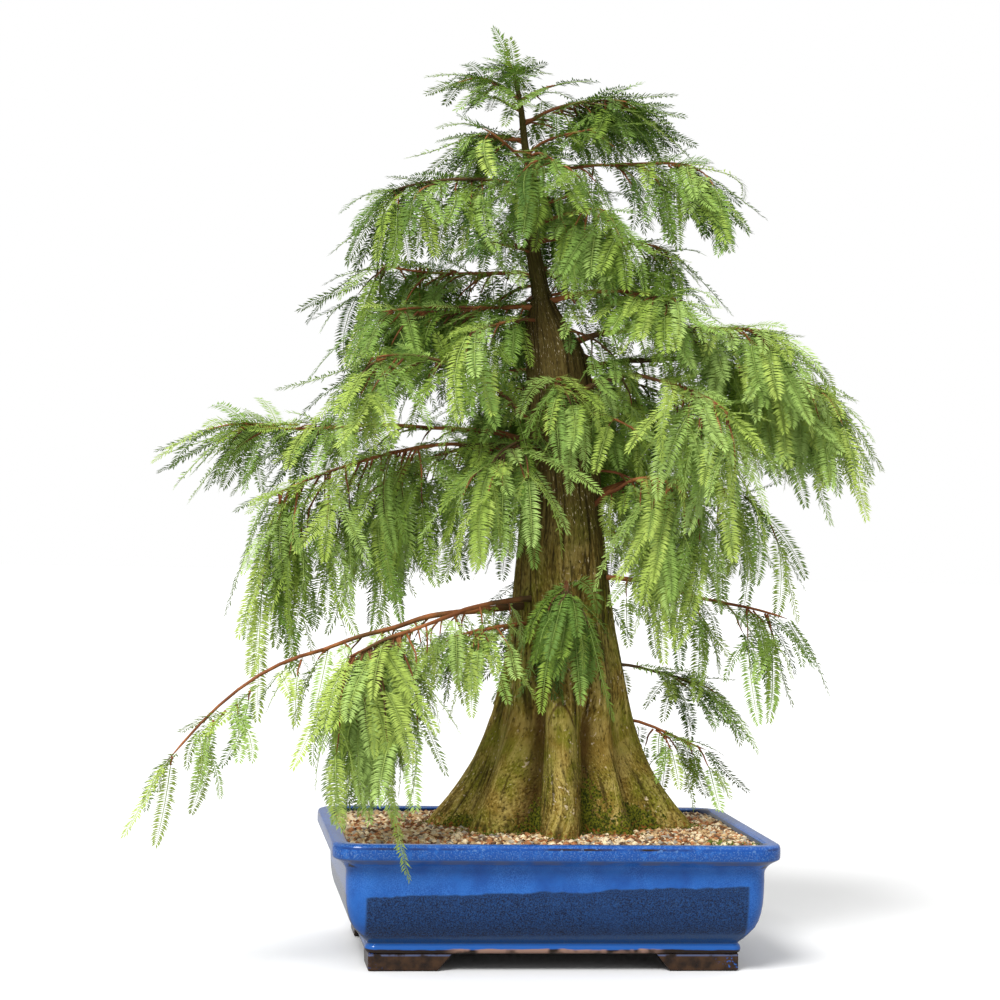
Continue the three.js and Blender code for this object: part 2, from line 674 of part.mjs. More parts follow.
// Adds a shoot whose spray fits, the spray shortened if it must be, and says if it did
function addShoot(shoots, path, heading, roll, spray, droop, own) {
  for (const share of sprayShares) {
    const shoot = makeShoot(path, heading, roll, spray * share, droop);
    shoot.probes = probesOf(shoot);
    if (shootFits(shoot, shoot.probes, own, shoots)) {
      shoots.push(shoot);
      return true;
    }
  }
  return false;
}

// The shoots of one mass, by a seeded rule. The first is the stem itself. The others leave
// it to its left and right in turn, and one that would leave the mass's space is left out.
function grow(mass, own) {
  const random = randomStream(firstSeed + seedStep * own);
  const stem = stems[own];
  const outward = headingOf(stem[stemSteps].clone().sub(stem[0]));
  const leading = makeShoot(stem, outward, random(...stemRoll), mass.spray, leadingDroop * mass.hang);
  leading.probes = probesOf(leading);
  const shoots = [leading];
  let wanted = mass.shoots;
  for (let k = 0; k < mass.shoots * triesPerShoot && wanted > 0; k += 1) {
    const share = mix(firstShootAt, lastShootAt, (0.5 + k * goldenShare) % 1);
    const station = Math.floor(share * stemSteps);
    const start = stem[station].clone().lerp(stem[station + 1], share * stemSteps - station);
    const side = k % 2 ? 1 : -1;
    const heading = outward + side * random(...shootTurn);
    const elevation = random(...shootRise);
    const length = mass.reach * random(...shootLengthShare);
    const roll = random(...shootRoll);
    const path = droopingPath(start, heading, elevation, length, mass.hang, shootSteps);
    if (addShoot(shoots, path, heading, roll, mass.spray, shootDroop * mass.hang, own)) wanted -= 1;
  }
  return shoots;
}

const trunkCutter = trunkSolid(seatGap);

function boughSolid(bough) {
  const limb = limbSolid(boughPaths.get(bough.name), bough.thick[0], bough.thick[1], boughSides);
  return limb.subtract(trunkCutter);
}

// One mass: its stem and shoots with their sprays, fused
function massSolid(mass, own) {
  const [stem, ...shoots] = grow(mass, own);
  let solid = shootSolid(stem, stemRadius, stemTipRadius);
  for (const shoot of shoots) {
    solid = solid.add(shootSolid(shoot, shootRadius, shootTipRadius));
  }
  return solid.subtract(trunkCutter);
}

function named(name, solid, material) {
  const mesh = new THREE.Mesh(asGeometry(solid), material);
  mesh.name = name;
  return mesh;
}

const plant = new THREE.Group();
plant.add(named('pot', potSolid(), glaze));
plant.add(named('soil', soilSolid(), grit));
plant.add(named('trunk', trunkSolid(0), bark));
for (const bough of boughs) {
  plant.add(named(`bough_${bough.name}`, boughSolid(bough), twigBark));
}
masses.forEach((mass, own) => {
  plant.add(named(`foliage_${mass.name}`, massSolid(mass, own), needles));
});

export default plant;
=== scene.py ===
# %% [markdown]
# # A bald cypress grown as a bonsai
# A real one is a broad, flared trunk that was cut back years ago, a thin leader that grew on from
# the cut, and long limbs whose twigs hang under the weight of soft, flat sprays of needles. It
# stands in a glazed pot filled with grit.
#
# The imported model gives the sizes, the pot, the trunk and where every limb goes. This file grows the
# same plant again by the same rule, and carries it on to needles, bark, glaze and grit.
#
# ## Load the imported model
# Everything is in the frame of that model, in metres, so nothing has to be fitted afterwards.

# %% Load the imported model
import math
from collections import namedtuple

import bmesh
import bpy
import numpy as np
from mathutils import Matrix, Vector, noise


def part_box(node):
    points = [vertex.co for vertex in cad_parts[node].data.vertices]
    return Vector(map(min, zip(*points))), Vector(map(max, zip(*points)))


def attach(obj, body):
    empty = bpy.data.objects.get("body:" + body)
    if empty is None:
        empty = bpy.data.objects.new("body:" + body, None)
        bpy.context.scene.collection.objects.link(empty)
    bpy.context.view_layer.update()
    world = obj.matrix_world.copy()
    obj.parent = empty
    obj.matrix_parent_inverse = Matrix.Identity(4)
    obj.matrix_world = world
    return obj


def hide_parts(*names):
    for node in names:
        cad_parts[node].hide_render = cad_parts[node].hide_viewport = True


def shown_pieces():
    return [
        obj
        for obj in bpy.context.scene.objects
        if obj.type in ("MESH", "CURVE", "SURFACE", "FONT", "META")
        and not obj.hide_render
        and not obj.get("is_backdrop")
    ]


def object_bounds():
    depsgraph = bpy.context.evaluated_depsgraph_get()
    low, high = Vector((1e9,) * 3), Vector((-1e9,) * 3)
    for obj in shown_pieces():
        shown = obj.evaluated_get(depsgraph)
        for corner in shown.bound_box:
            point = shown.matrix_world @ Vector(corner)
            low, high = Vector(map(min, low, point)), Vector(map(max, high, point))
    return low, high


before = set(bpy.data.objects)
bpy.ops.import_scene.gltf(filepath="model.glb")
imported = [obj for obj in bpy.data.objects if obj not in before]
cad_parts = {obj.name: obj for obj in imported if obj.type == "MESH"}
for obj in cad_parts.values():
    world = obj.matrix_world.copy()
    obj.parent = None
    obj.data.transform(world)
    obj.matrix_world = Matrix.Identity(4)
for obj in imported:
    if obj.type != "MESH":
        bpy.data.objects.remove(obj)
cad_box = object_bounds()
node_names = sorted(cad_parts)
print("nodes in the frame:", len(node_names))

# %% [markdown]
# ## Sizes
# The plant is worked out in millimetres, as a grower would measure it, and a mesh turns them into
# metres when it is made. The pot's own box gives the middle that all else is measured from.

# %% Sizes from the frame
metres = 0.001
pot_low, pot_high = (np.array(corner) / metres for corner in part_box("pot"))
pot_middle = np.round((pot_low + pot_high)[:2] / 2, 1)
pot_width, pot_depth, rim_height = np.round(pot_high - pot_low, 1)
trunk_foot = round(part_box("trunk")[0].z / metres, 1)
trunk_axis = pot_middle + (25, 11)
print("pot", pot_width, "by", pot_depth, "by", rim_height, "mm; the trunk's cut at", trunk_foot)

# %% [markdown]
# ## The camera
# The photograph was taken from nearly three metres away, level with the middle of the plant, from a
# little to the left of the pot's front. It leans by about one degree, and the camera here does too.

# %% Camera
view_turn = math.radians(7)
view_lean = math.radians(1.2)
view_distance = 2.785
view_height = 0.4767
view_aside = 0.0495
focal_pixels = 2616
frame_pixels = 1000
sensor_width = 36

level_right = Vector((math.cos(view_turn), -math.sin(view_turn), 0))
forward = Vector((math.sin(view_turn), math.cos(view_turn), 0))
straight_up = Vector((0, 0, 1))
camera_right = level_right * math.cos(view_lean) + straight_up * math.sin(view_lean)
camera_up = straight_up * math.cos(view_lean) - level_right * math.sin(view_lean)
camera_place = Vector((*pot_middle * metres, view_height))
camera_place -= level_right * view_aside + forward * view_distance

camera = bpy.data.objects.new("camera", bpy.data.cameras.new("camera"))
camera.data.sensor_width = sensor_width
camera.data.lens = sensor_width * focal_pixels / frame_pixels
camera.data.clip_end = 50
turned = Matrix((camera_right, camera_up, -forward)).transposed()
camera.matrix_world = Matrix.Translation(camera_place) @ turned.to_4x4()
bpy.context.scene.collection.objects.link(camera)
bpy.context.scene.camera = camera
print("camera at", [round(value, 3) for value in camera_place])

# %% [markdown]
# ## Light
# A studio shot on white: an even white room, brighter above than at the level of the pot, so that the
# glaze does not turn milky, and one broad light from high on the left that models the trunk and
# leaves the inside of the crown in shade. The camera itself sees the room as plain white.

# %% Helpers for nodes
def plug(tree, value, socket):
    """Gives a socket its value, which is another socket or plain numbers."""
    if isinstance(value, bpy.types.NodeSocket):
        tree.links.new(value, socket)
    else:
        socket.default_value = value


def add_node(tree, kind, *values, **settings):
    """A node with its settings, and what goes into its first inputs. None leaves an input as it is."""
    node = tree.nodes.new("ShaderNode" + kind)
    for name, setting in settings.items():
        setattr(node, name, setting)
    for socket, value in zip(node.inputs, values):
        if value is not None:
            plug(tree, value, socket)
    return node


# %% Light
scene = bpy.context.scene
scene.view_settings.view_transform = "Standard"
scene.view_settings.look = "None"
room_above, room_level = 1.05, 0.42
sun_strength = 2.7
sun_softness = math.radians(24)
sun_from = (-1.15, -1.7, 2.3)


def studio_world():
    """White to the camera, and to the plant a room that is brighter above."""
    world = bpy.data.worlds.new("studio")
    world.use_nodes = True
    tree = world.node_tree
    white = (1, 1, 1, 1)
    way_up = add_node(tree, "SeparateXYZ", add_node(tree, "TexCoord").outputs["Generated"])
    rise = add_node(tree, "MapRange", way_up.outputs[2], None, None, room_level, room_above)
    room = tree.nodes["Background"]
    plug(tree, white, room.inputs["Color"])
    plug(tree, rise.outputs[0], room.inputs["Strength"])
    seen = add_node(tree, "Background", white, 1.0)
    by_camera = add_node(tree, "LightPath").outputs["Is Camera Ray"]
    choose = add_node(tree, "MixShader", by_camera, room.outputs[0], seen.outputs[0])
    plug(tree, choose.outputs[0], tree.nodes["World Output"].inputs[0])
    return world


scene.world = studio_world()
sun = bpy.data.objects.new("sun", bpy.data.lights.new("sun", "SUN"))
sun.data.energy = sun_strength
sun.data.angle = sun_softness
sun.rotation_euler = Vector(sun_from).to_track_quat("Z", "Y").to_euler()
scene.collection.objects.link(sun)

# %% [markdown]
# ## Helpers
# Small shapes in great numbers are joined meshes made from arrays. The larger pieces are skins that a
# bmesh extrudes from ring to ring, as a potter or a bark grows. Both end up as an object at the
# origin that rides on the body of the plant.

# %% Helpers for pieces
def piece_from_mesh(name, mesh, material, smooth=True):
    """An object at the origin for a finished mesh, with its material, riding on the plant."""
    piece = bpy.data.objects.new(name, mesh)
    scene.collection.objects.link(piece)
    mesh.materials.append(material)
    if smooth:
        mesh.shade_smooth()
    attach(piece, "root")
    return piece


def mesh_from_arrays(name, points, triangles):
    """A mesh from points in millimetres and triangles, both as arrays."""
    mesh = bpy.data.meshes.new(name)
    mesh.vertices.add(len(points))
    mesh.vertices.foreach_set("co", (points * metres).astype(np.float32).ravel())
    mesh.loops.add(triangles.size)
    mesh.loops.foreach_set("vertex_index", triangles.astype(np.int32).ravel())
    mesh.polygons.add(len(triangles))
    mesh.polygons.foreach_set("loop_start", np.arange(0, triangles.size, 3, dtype=np.int32))
    mesh.update(calc_edges=True)
    return mesh


def copies(shapes, triangles):
    """The points and triangles of many small shapes that are built alike: copies, points, xyz."""
    first = shapes.shape[1] * np.arange(len(shapes))[:, None, None]
    return shapes.reshape(-1, 3), (first + np.array(triangles)).reshape(-1, 3)


def finished(bm, name):
    """A mesh from a bmesh that is done with."""
    mesh = bpy.data.meshes.new(name)
    bm.to_mesh(mesh)
    bm.free()
    return mesh


def skin_over_rings(name, rings):
    """A closed mesh that bmesh extrudes from ring to ring of points. rings: levels, points, xyz."""
    bm = bmesh.new()
    order = bm.verts.layers.int.new("order")
    ring = [bm.verts.new(point * metres) for point in rings[0]]
    for number, corner in enumerate(ring):
        corner[order] = number
    edges = [bm.edges.new((ring[i], ring[(i + 1) % len(ring)])) for i in range(len(ring))]
    bmesh.ops.edgeloop_fill(bm, edges=edges)
    for level in rings[1:]:
        grown = bmesh.ops.extrude_edge_only(bm, edges=edges)["geom"]
        edges = [part for part in grown if isinstance(part, bmesh.types.BMEdge)]
        for corner in grown:
            if isinstance(corner, bmesh.types.BMVert):
                corner.co = level[corner[order]] * metres
    bmesh.ops.edgeloop_fill(bm, edges=edges)
    bmesh.ops.recalc_face_normals(bm, faces=bm.faces)
    return finished(bm, name)


# %% Helpers for places and directions
def heading_vector(heading, elevation=0.0):
    """A direction from a heading and an elevation in degrees."""
    turn, rise = math.radians(heading), math.radians(elevation)
    return np.array([math.cos(rise) * math.cos(turn), math.cos(rise) * math.sin(turn), math.sin(rise)])


def heading_of(vector):
    return math.degrees(math.atan2(vector[1], vector[0]))


def unit(vectors):
    """Vectors made one long."""
    lengths = np.linalg.norm(vectors, axis=-1, keepdims=True)
    return vectors / np.maximum(lengths, 1e-9)


def mix(low, high, share):
    return low + (high - low) * share


def soft_step(value, low, high):
    """0 below the low value and 1 above the high one, with a soft turn at both."""
    share = np.clip((value - low) / (high - low), 0, 1)
    return share * share * (3 - 2 * share)


def table(rows, at):
    """The numbers after the first in a table's rows, worked out between them by straight lines."""
    rows = np.array(rows, float)
    columns = [np.interp(at, rows[:, 0], rows[:, k]) for k in range(1, rows.shape[1])]
    return np.stack(columns, -1)


def steps_of(line):
    """How long each step of a line is."""
    return np.linalg.norm(np.diff(line, axis=0), axis=1)


def lengths_along(line):
    """How far each point of a line lies from its start, measured along it."""
    return np.concatenate([[0], np.cumsum(steps_of(line))])


def points_along(line, lengths, at):
    """What a line's rows say at distances along it, whether they are places or directions."""
    return np.stack([np.interp(at, lengths, line[:, k]) for k in range(3)], -1)


# %% [markdown]
# ## Shaders that several finishes share
# Bark, grit, needles and glaze all have colour that wanders from place to place, and a fine grain.
# Each effect is a node group with named inputs, made once and placed in every material that needs it.

# %% Helpers for materials
plain_gloss = 0.5


def new_material(name, roughness, gloss=plain_gloss):
    """A node material with its roughness and gloss, its node tree and its shader."""
    material = bpy.data.materials.new(name)
    material.use_nodes = True
    tree = material.node_tree
    shader = tree.nodes["Principled BSDF"]
    shader.inputs["Roughness"].default_value = roughness
    shader.inputs["Specular IOR Level"].default_value = gloss
    return material, tree, shader


def object_place(tree):
    return add_node(tree, "TexCoord").outputs["Object"]


def colour_mix(tree, share, low, high):
    """A colour between two, each a socket or plain numbers, by a share that is a socket."""
    node = add_node(tree, "Mix", share, data_type="RGBA")
    for number, value in ((6, low), (7, high)):
        plug(tree, (*value, 1) if isinstance(value, tuple) else value, node.inputs[number])
    return node.outputs[2]


def layered(tree, colour, *layers):
    """Colours laid one over another. Each layer is the share of it that shows, and its colour."""
    for share, over in layers:
        colour = colour_mix(tree, share, colour, over)
    return colour


def paint(tree, shader, colour):
    tree.links.new(colour, shader.inputs["Base Color"])


# %% Helpers for sums on sockets
def math_node(tree, operation, *values):
    """One step of arithmetic, on sockets or plain numbers."""
    return add_node(tree, "Math", *values, operation=operation).outputs[0]


def both(tree, first, second):
    return math_node(tree, "MULTIPLY", first, second)


def without(tree, mask):
    return math_node(tree, "SUBTRACT", 1.0, mask)


def swing(tree, wave, amount):
    """A noise, which goes from 0 to 1, made to swing both ways round 0."""
    return both(tree, math_node(tree, "SUBTRACT", wave, 0.5), amount)


def step_between(tree, value, low, high):
    """A soft step: 0 where the value is at the low number, 1 where it is at the high one."""
    node = add_node(tree, "MapRange", value, low, high, interpolation_type="SMOOTHSTEP")
    return node.outputs[0]


def share_of(tree, value, low, high, most):
    """A soft step, scaled to the most that it may be."""
    return both(tree, step_between(tree, value, low, high), most)


# %% Helpers for groups and noise
def new_group(name, numbers, outputs):
    """An empty shader group with a Place input, named number inputs and named outputs."""
    group = bpy.data.node_groups.new(name, "ShaderNodeTree")
    group.interface.new_socket("Place", in_out="INPUT", socket_type="NodeSocketVector")
    for label, value in numbers.items():
        socket = group.interface.new_socket(label, in_out="INPUT", socket_type="NodeSocketFloat")
        socket.default_value = value
    for label in outputs:
        group.interface.new_socket(label, in_out="OUTPUT", socket_type="NodeSocketFloat")
    return group, group.nodes.new("NodeGroupInput"), group.nodes.new("NodeGroupOutput")


def noise_node(tree, place, scale, detail=3.0):
    """Blender's noise at a place. The scale is a socket or a number, in patches per metre."""
    node = add_node(tree, "TexNoise", place)
    plug(tree, scale, node.inputs["Scale"])
    plug(tree, detail, node.inputs["Detail"])
    return node.outputs["Fac"]


# %% The patches group
def make_patches():
    """Soft patches of a given size: the share of the surface they take is set by two limits."""
    numbers = {"Per metre": 20.0, "From": 0.4, "To": 0.6}
    group, given, made = new_group("patches", numbers, ["Mask"])
    wave = noise_node(group, given.outputs["Place"], given.outputs["Per metre"])
    mask = step_between(group, wave, given.outputs["From"], given.outputs["To"])
    plug(group, mask, made.inputs["Mask"])
    return group


# %% The fibres group
def make_fibres():
    """Long thin fibres that run up and down, as bark has them, as a height."""
    group, given, made = new_group("fibres", {"Per metre": 160.0, "Stretch": 0.08}, ["Height"])
    squeeze = add_node(group, "CombineXYZ", 1, 1, given.outputs["Stretch"]).outputs[0]
    placed = add_node(group, "VectorMath", given.outputs["Place"], squeeze, operation="MULTIPLY")
    height = noise_node(group, placed.outputs[0], given.outputs["Per metre"], detail=5.0)
    plug(group, height, made.inputs["Height"])
    return group


# %% Place the groups in a material
patches_group = make_patches()
fibres_group = make_fibres()


def placed_group(tree, group, place, *values):
    """A group in a material, with its place and its numbers."""
    return add_node(tree, "Group", place, *values, node_tree=group)


def patches(tree, place, per_metre, low=0.4, high=0.6):
    """The mask of soft patches."""
    return placed_group(tree, patches_group, place, per_metre, low, high).outputs["Mask"]


def fibres(tree, place, per_metre, stretch):
    """The height of fibres."""
    return placed_group(tree, fibres_group, place, per_metre, stretch).outputs["Height"]


def tinted(name, colour, roughness, gloss, darker, per_metre):
    """A material of one colour that wanders to a darker share of it in soft patches."""
    material, tree, shader = new_material(name.replace("_", " "), roughness, gloss)
    tone = patches(tree, object_place(tree), per_metre, 0.35, 0.65)
    shaded = tuple(darker * value for value in colour)
    paint(tree, shader, colour_mix(tree, tone, shaded, colour))
    return material, tree, shader


def add_bump(tree, shader, height, distance, strength=1.0):
    """Feeds a height into the shader's normal."""
    bump = add_node(tree, "Bump", strength, distance)
    plug(tree, height, bump.inputs["Height"])
    plug(tree, bump.outputs["Normal"], shader.inputs["Normal"])


# %% [markdown]
# ## The floor
# A wide pale disc under the pot. It is part of the stage and not of the plant. It is white to look
# at, but sends up less light than a white floor would, so that the glaze and the undersides of the
# sprays keep their depth.

# %% Floor
floor_radius = 14.0
floor_below = 0.0005
floor_sent_up = 0.42
floor_whites = (0.93, 0.95)
floor_bm = bmesh.new()
bmesh.ops.create_circle(floor_bm, cap_ends=True, segments=96, radius=floor_radius)
bmesh.ops.translate(floor_bm, verts=floor_bm.verts, vec=(0, 0, -floor_below))
floor_mesh = finished(floor_bm, "floor")
floor = bpy.data.objects.new("floor", floor_mesh)
scene.collection.objects.link(floor)
floor_paint, floor_tree, floor_shader = new_material("floor paint", 0.7)
floor_tone = patches(floor_tree, object_place(floor_tree), 1.5)
floor_seen = colour_mix(floor_tree, floor_tone, (floor_whites[0],) * 3, (floor_whites[1],) * 3)
seen_by_camera = add_node(floor_tree, "LightPath").outputs["Is Camera Ray"]
paint(floor_tree, floor_shader,
      colour_mix(floor_tree, seen_by_camera, (floor_sent_up,) * 3, floor_seen))
floor_mesh.materials.append(floor_paint)
floor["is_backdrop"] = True

# %% [markdown]
# ## The trunk's shape
# Seven buttresses flare from the foot. Above them the trunk tapers slowly up to the old cut, and the
# leader goes on from its left side. The tables are the plant's own: height above the cut at the foot,
# and the lean or the girth there.

# %% The trunk's tables
trunk_lean = [
    (0, 0, 0), (190, -2, 0), (330, -7, 0), (400, -8, 0), (456, -10, 1), (514, -18, 2), (540, -27, 3),
    (566, -32, 4), (626, -45, 2), (680, -45, -2), (722, -54, -1), (775, -60, 4), (800, -66, 6),
]
trunk_girth = [
    (0, 40), (90, 43), (160, 46), (240, 44), (330, 41), (400, 39.5), (455, 37), (514, 31),
    (542, 21), (566, 10.5), (626, 7.5), (680, 5.6), (722, 4.2), (775, 3), (800, 2.4),
]
chopped_height = 566
leader_tip = 800
leader_tip_stretch = 25
flare_reach = 104
flare_share_all_round = 0.16
flare_fade = 100
# Heading, share of the flare, half a width in degrees
buttresses = [
    (168, 0.9, 27), (214, 0.62, 17), (262, 0.47, 14), (312, 0.4, 16),
    (5, 0.9, 24), (62, 0.6, 20), (115, 0.72, 21),
]
# The front buttress stands out as a rounded column, up to a ledge
column_heading, column_spread, column_crispness = 260, 18, 4
column_reach = 13
column_ledge, column_edge = 134, 10


# %% The trunk's rule
def nearness(heading, middle, spread, crispness=2):
    """How near a heading is to a buttress: 1 at its middle, and less to both sides."""
    away = np.abs((heading - middle + 180) % 360 - 180)
    return np.exp(-((away / spread) ** crispness))


def flare(rise, heading):
    """How far the buttresses reach past the stem."""
    share = flare_share_all_round
    for middle, part, spread in buttresses:
        share = share + part * nearness(heading, middle, spread)
    under = 1 - soft_step(rise, column_ledge, column_ledge + column_edge)
    proud = column_reach * under * nearness(heading, column_heading, column_spread, column_crispness)
    return flare_reach * share * np.exp(-rise / flare_fade) + proud


def trunk_middle(height):
    """The middle of the trunk at a height above the ground."""
    lean = table(trunk_lean, np.asarray(height) - trunk_foot)
    return np.concatenate([trunk_axis + lean, np.asarray(height, float)[..., None]], -1)


def trunk_radius(height, heading):
    """How far the trunk's surface is from its middle at a height, towards a heading."""
    rise = np.asarray(height) - trunk_foot
    girth = table(trunk_girth, rise)[..., 0]
    return np.where(rise < chopped_height, girth + flare(rise, heading), girth)


# %% [markdown]
# ## The limbs and the masses of foliage
# The same tables as in the model. A bough leaves the trunk at a height, and ends at a heading, a
# distance out and a height. A mass grows on from a bough's tip, or straight from the trunk. The last
# two numbers of a mass are for this file alone: how many finer twigs it carries for each shoot, and
# its tone, from 0 for dark needles to 1 for the fresh yellow-green ones. A low tone stands both for old
# needles and for painted shade, on masses that lie deep in the tree.

# %% The boughs
Bough = namedtuple("Bough", "name height tip thick")
boughs = [Bough(*row) for row in (
    ("low_left", 366, (206, 296, 322), (4.4, 2.2)),
    ("low_left_inner", 344, (218, 120, 342), (3.2, 1.9)),
    ("low_left_front", 374, (217, 225, 342), (3.8, 2)),
    ("mid_left", 536, (176, 150, 552), (4.4, 2.2)),
    ("mid_left_weeping", 528, (190, 150, 533), (4, 2)),
    ("mid_left_back", 520, (149, 105, 534), (3.8, 2)),
    ("diagonal_left", 545, (204, 108, 602), (3.6, 1.9)),
    ("upper_left", 682, (178, 82, 682), (4.2, 2)),
    ("high_left", 716, (153, 76, 722), (3.4, 1.9)),
    ("top_left", 806, (185, 62, 812), (2.8, 1.8)),
    ("top_right", 824, (336, 38, 836), (2.8, 1.8)),
    ("upper_right", 690, (318, 62, 700), (3.6, 2)),
    ("right_arm", 645, (344, 105, 664), (4.4, 2.2)),
    ("right_outer", 616, (2, 150, 632), (4.4, 2.2)),
    ("right_front", 590, (310, 88, 611), (3.8, 2)),
    ("right_weeping", 462, (320, 78, 500), (4, 2)),
    ("right_skirt", 480, (14, 90, 503), (4, 2)),
    ("low_right", 396, (350, 115, 384), (3.6, 1.9)),
    ("back_low", 400, (90, 95, 412), (4, 2)),
    ("back_mid", 560, (73, 90, 580), (4, 2)),
)]
bough_steps = 5
bough_sunk = 0.5
bough_arch = 0.04
stem_bend = 0.35

# %% The masses
# A mass grows on a bough, or on the trunk where its second value is a height
Mass = namedtuple("Mass", "name grows_on furthest shoots reach hang spray finer tone")
masses = [Mass(*row) for row in (
    ("low_left_tail", "low_left", (205, 506, 186), 5, 35, 0.7, 80, 0.2, 0.8),
    ("low_left_curtain", "low_left_front", (216, 352, 302), 10, 110, 1, 120, 3, 1.0),
    ("low_left_inner", "low_left_inner", (215, 200, 330), 5, 30, 0.6, 70, 1.2, 0.8),
    ("mid_left", "mid_left", (176, 425, 552), 7, 60, 0.35, 95, 3, 0.66),
    ("mid_left_weeping", "mid_left_weeping", (187, 372, 458), 10, 115, 1, 130, 2, 0.72),
    ("mid_left_back", "mid_left_back", (147, 290, 475), 7, 75, 0.7, 125, 1.2, 0.5),
    ("diagonal_left", "diagonal_left", (199, 300, 630), 7, 60, 0.6, 105, 1.2, 0.64),
    ("near_left", 548, (222, 185, 490), 7, 70, 0.8, 120, 0.7, 0.76),
    ("upper_left", "upper_left", (180, 275, 668), 7, 60, 0.6, 105, 3, 0.5),
    ("upper_left_front", 668, (216, 206, 636), 6, 60, 0.7, 105, 0.5, 0.55),
    ("high_left", "high_left", (154, 292, 738), 7, 60, 0.6, 100, 2.8, 0.42),
    ("top_left", "top_left", (184, 262, 794), 7, 55, 0.6, 95, 2, 0.42),
    ("crown_left_low", 862, (168, 152, 868), 6, 38, 0.4, 78, 0.3, 0.4),
    ("crown_left", 905, (183, 145, 946), 5, 30, 0.2, 62, 0.5, 0.4),
    ("apex", "leader", (178, 78, 960), 4, 15, 0.1, 40, 2.4, 0.42),
    ("crown_right", 878, (350, 108, 924), 10, 62, 0.4, 85, 2.1, 0.4),
    ("top_right", "top_right", (342, 188, 836), 7, 60, 0.6, 100, 1.9, 0.42),
    ("crown_front", 842, (262, 130, 822), 6, 55, 0.6, 90, 0.6, 0.42),
    ("top_right_front", 770, (300, 126, 788), 6, 55, 0.7, 95, 0.6, 0.5),
    ("high_right", 752, (13, 178, 748), 6, 50, 0.6, 95, 1.5, 0.45),
    ("upper_right", "upper_right", (315, 190, 676), 6, 45, 0.4, 85, 2.2, 0.68),
    ("right_arm", "right_arm", (346, 275, 660), 7, 60, 0.6, 105, 3.5, 0.86),
    ("right_outer", "right_outer", (358, 336, 590), 8, 70, 0.7, 108, 5.2, 0.95),
    ("right_front", "right_front", (315, 259, 550), 8, 75, 0.9, 125, 2.5, 1.0),
    ("right_weeping", "right_weeping", (322, 200, 480), 8, 100, 1, 130, 1.1, 0.92),
    ("right_skirt", "right_skirt", (7, 265, 476), 7, 75, 0.8, 120, 0.3, 0.75),
    ("low_right", "low_right", (350, 285, 345), 6, 50, 0.8, 90, 0.6, 0.6),
    ("low_right_back", 300, (9, 198, 278), 5, 50, 0.5, 90, 0.5, 0.5),
    ("lowest_right", 240, (9, 202, 200), 5, 35, 0.7, 65, 0.3, 0.55),
    ("front_low", 396, (264, 118, 365), 7, 45, 0.8, 95, 1, 0.3),
    ("front_mid", 610, (254, 121, 580), 5, 40, 0.7, 90, 0, 0.66),
    ("back_low", "back_low", (88, 215, 362), 8, 55, 0.8, 125, 2, 0.45),
    ("back_mid", "back_mid", (68, 250, 545), 8, 85, 0.8, 125, 2, 0.45),
    ("back_upper", 700, (98, 212, 660), 7, 70, 0.7, 110, 2, 0.45),
    ("back_top", 812, (83, 150, 785), 7, 55, 0.7, 100, 2, 0.42),
    ("right_near", 608, (338, 128, 560), 6, 42, 0.8, 90, 2, 0.55),
    ("back_mid_left", 600, (118, 210, 580), 7, 70, 0.8, 120, 2, 0.45),
)]

# %% The rule's own numbers
first_seed = 41
seed_step = 17
stem_arch = 0.06
stem_steps = 4
shortest_stem = 0.5
shoot_radius = 1.3
shoot_steps = 2
first_shoot_at, last_shoot_at = 0.06, 0.98
golden_share = 0.618
tries_per_shoot = 30
shoot_turn, shoot_rise = (15, 110), (-25, 35)
shoot_length_share = (0.4, 1.1)
shoot_roll, stem_roll = (-55, 55), (-20, 20)
steepest = -86
leading_droop, shoot_droop = 0.6, 0.4
spray_outline = [(0.32, 1), (0.44, 0.4), (0.74, 0.8)]
spray_width_share, spray_thick_share = 0.42, 0.018
spray_shares = (1, 0.8, 0.6)
crowded_root, elbow_share, spray_room_share = 24, 0.6, 0.7
seat_gap, space_margin, clearance, probe_step = 0.3, 1.5, 2.5, 12


# %% [markdown]
# ## Grow the limbs
# A limb is an arc from inside the trunk to its tip. A mass's stem goes on from it and bends over
# towards the furthest place that the mass reaches.

# %% Limbs and stems
def bezier(start, middle, end, steps):
    """Points on the arc that a start, a middle that pulls and an end make."""
    t = np.linspace(0, 1, steps + 1)[:, None]
    return (1 - t) ** 2 * start + 2 * t * (1 - t) * middle + t**2 * end


def arched_path(start, end, arch, steps):
    middle = (start + end) / 2 + (0, 0, 2 * arch)
    return bezier(start, middle, end, steps)


def drooping_path(start, heading, elevation, length, hang, steps):
    """A path that sets off one way and turns towards straight down by its share of hang."""
    path = [start]
    for i in range(1, steps + 1):
        turned_share = hang * math.sin(math.pi / 2 * i / steps)
        step = heading_vector(heading, mix(elevation, steepest, turned_share))
        path.append(path[-1] + step * length / steps)
    return np.array(path)


def place(heading, out, height):
    """A place given by its heading and distance from the trunk's foot, and its height."""
    turn = math.radians(heading)
    return np.array([trunk_axis[0] + out * math.cos(turn), trunk_axis[1] + out * math.sin(turn), height])


def start_in_trunk(height, end):
    start = trunk_middle(height)
    heading = heading_of(end - start)
    return start + heading_vector(heading) * bough_sunk * trunk_radius(height, heading)


def bough_path(start_height, tip):
    end = place(*tip)
    start = start_in_trunk(start_height, end)
    return arched_path(start, end, bough_arch * np.linalg.norm(end - start), bough_steps)


def stem_end(start, furthest, spray, hang):
    reach = spray * (1 - leading_droop * hang)
    share = 1 - reach / np.linalg.norm(furthest - start)
    return mix(start, furthest, max(shortest_stem, share))


def place_on_stem(stem, at):
    """The place at a number of steps along a stem."""
    station = math.floor(at)
    return mix(stem[station], stem[station + 1], at - station)


def on_trunk(mass):
    return not isinstance(mass.grows_on, str)


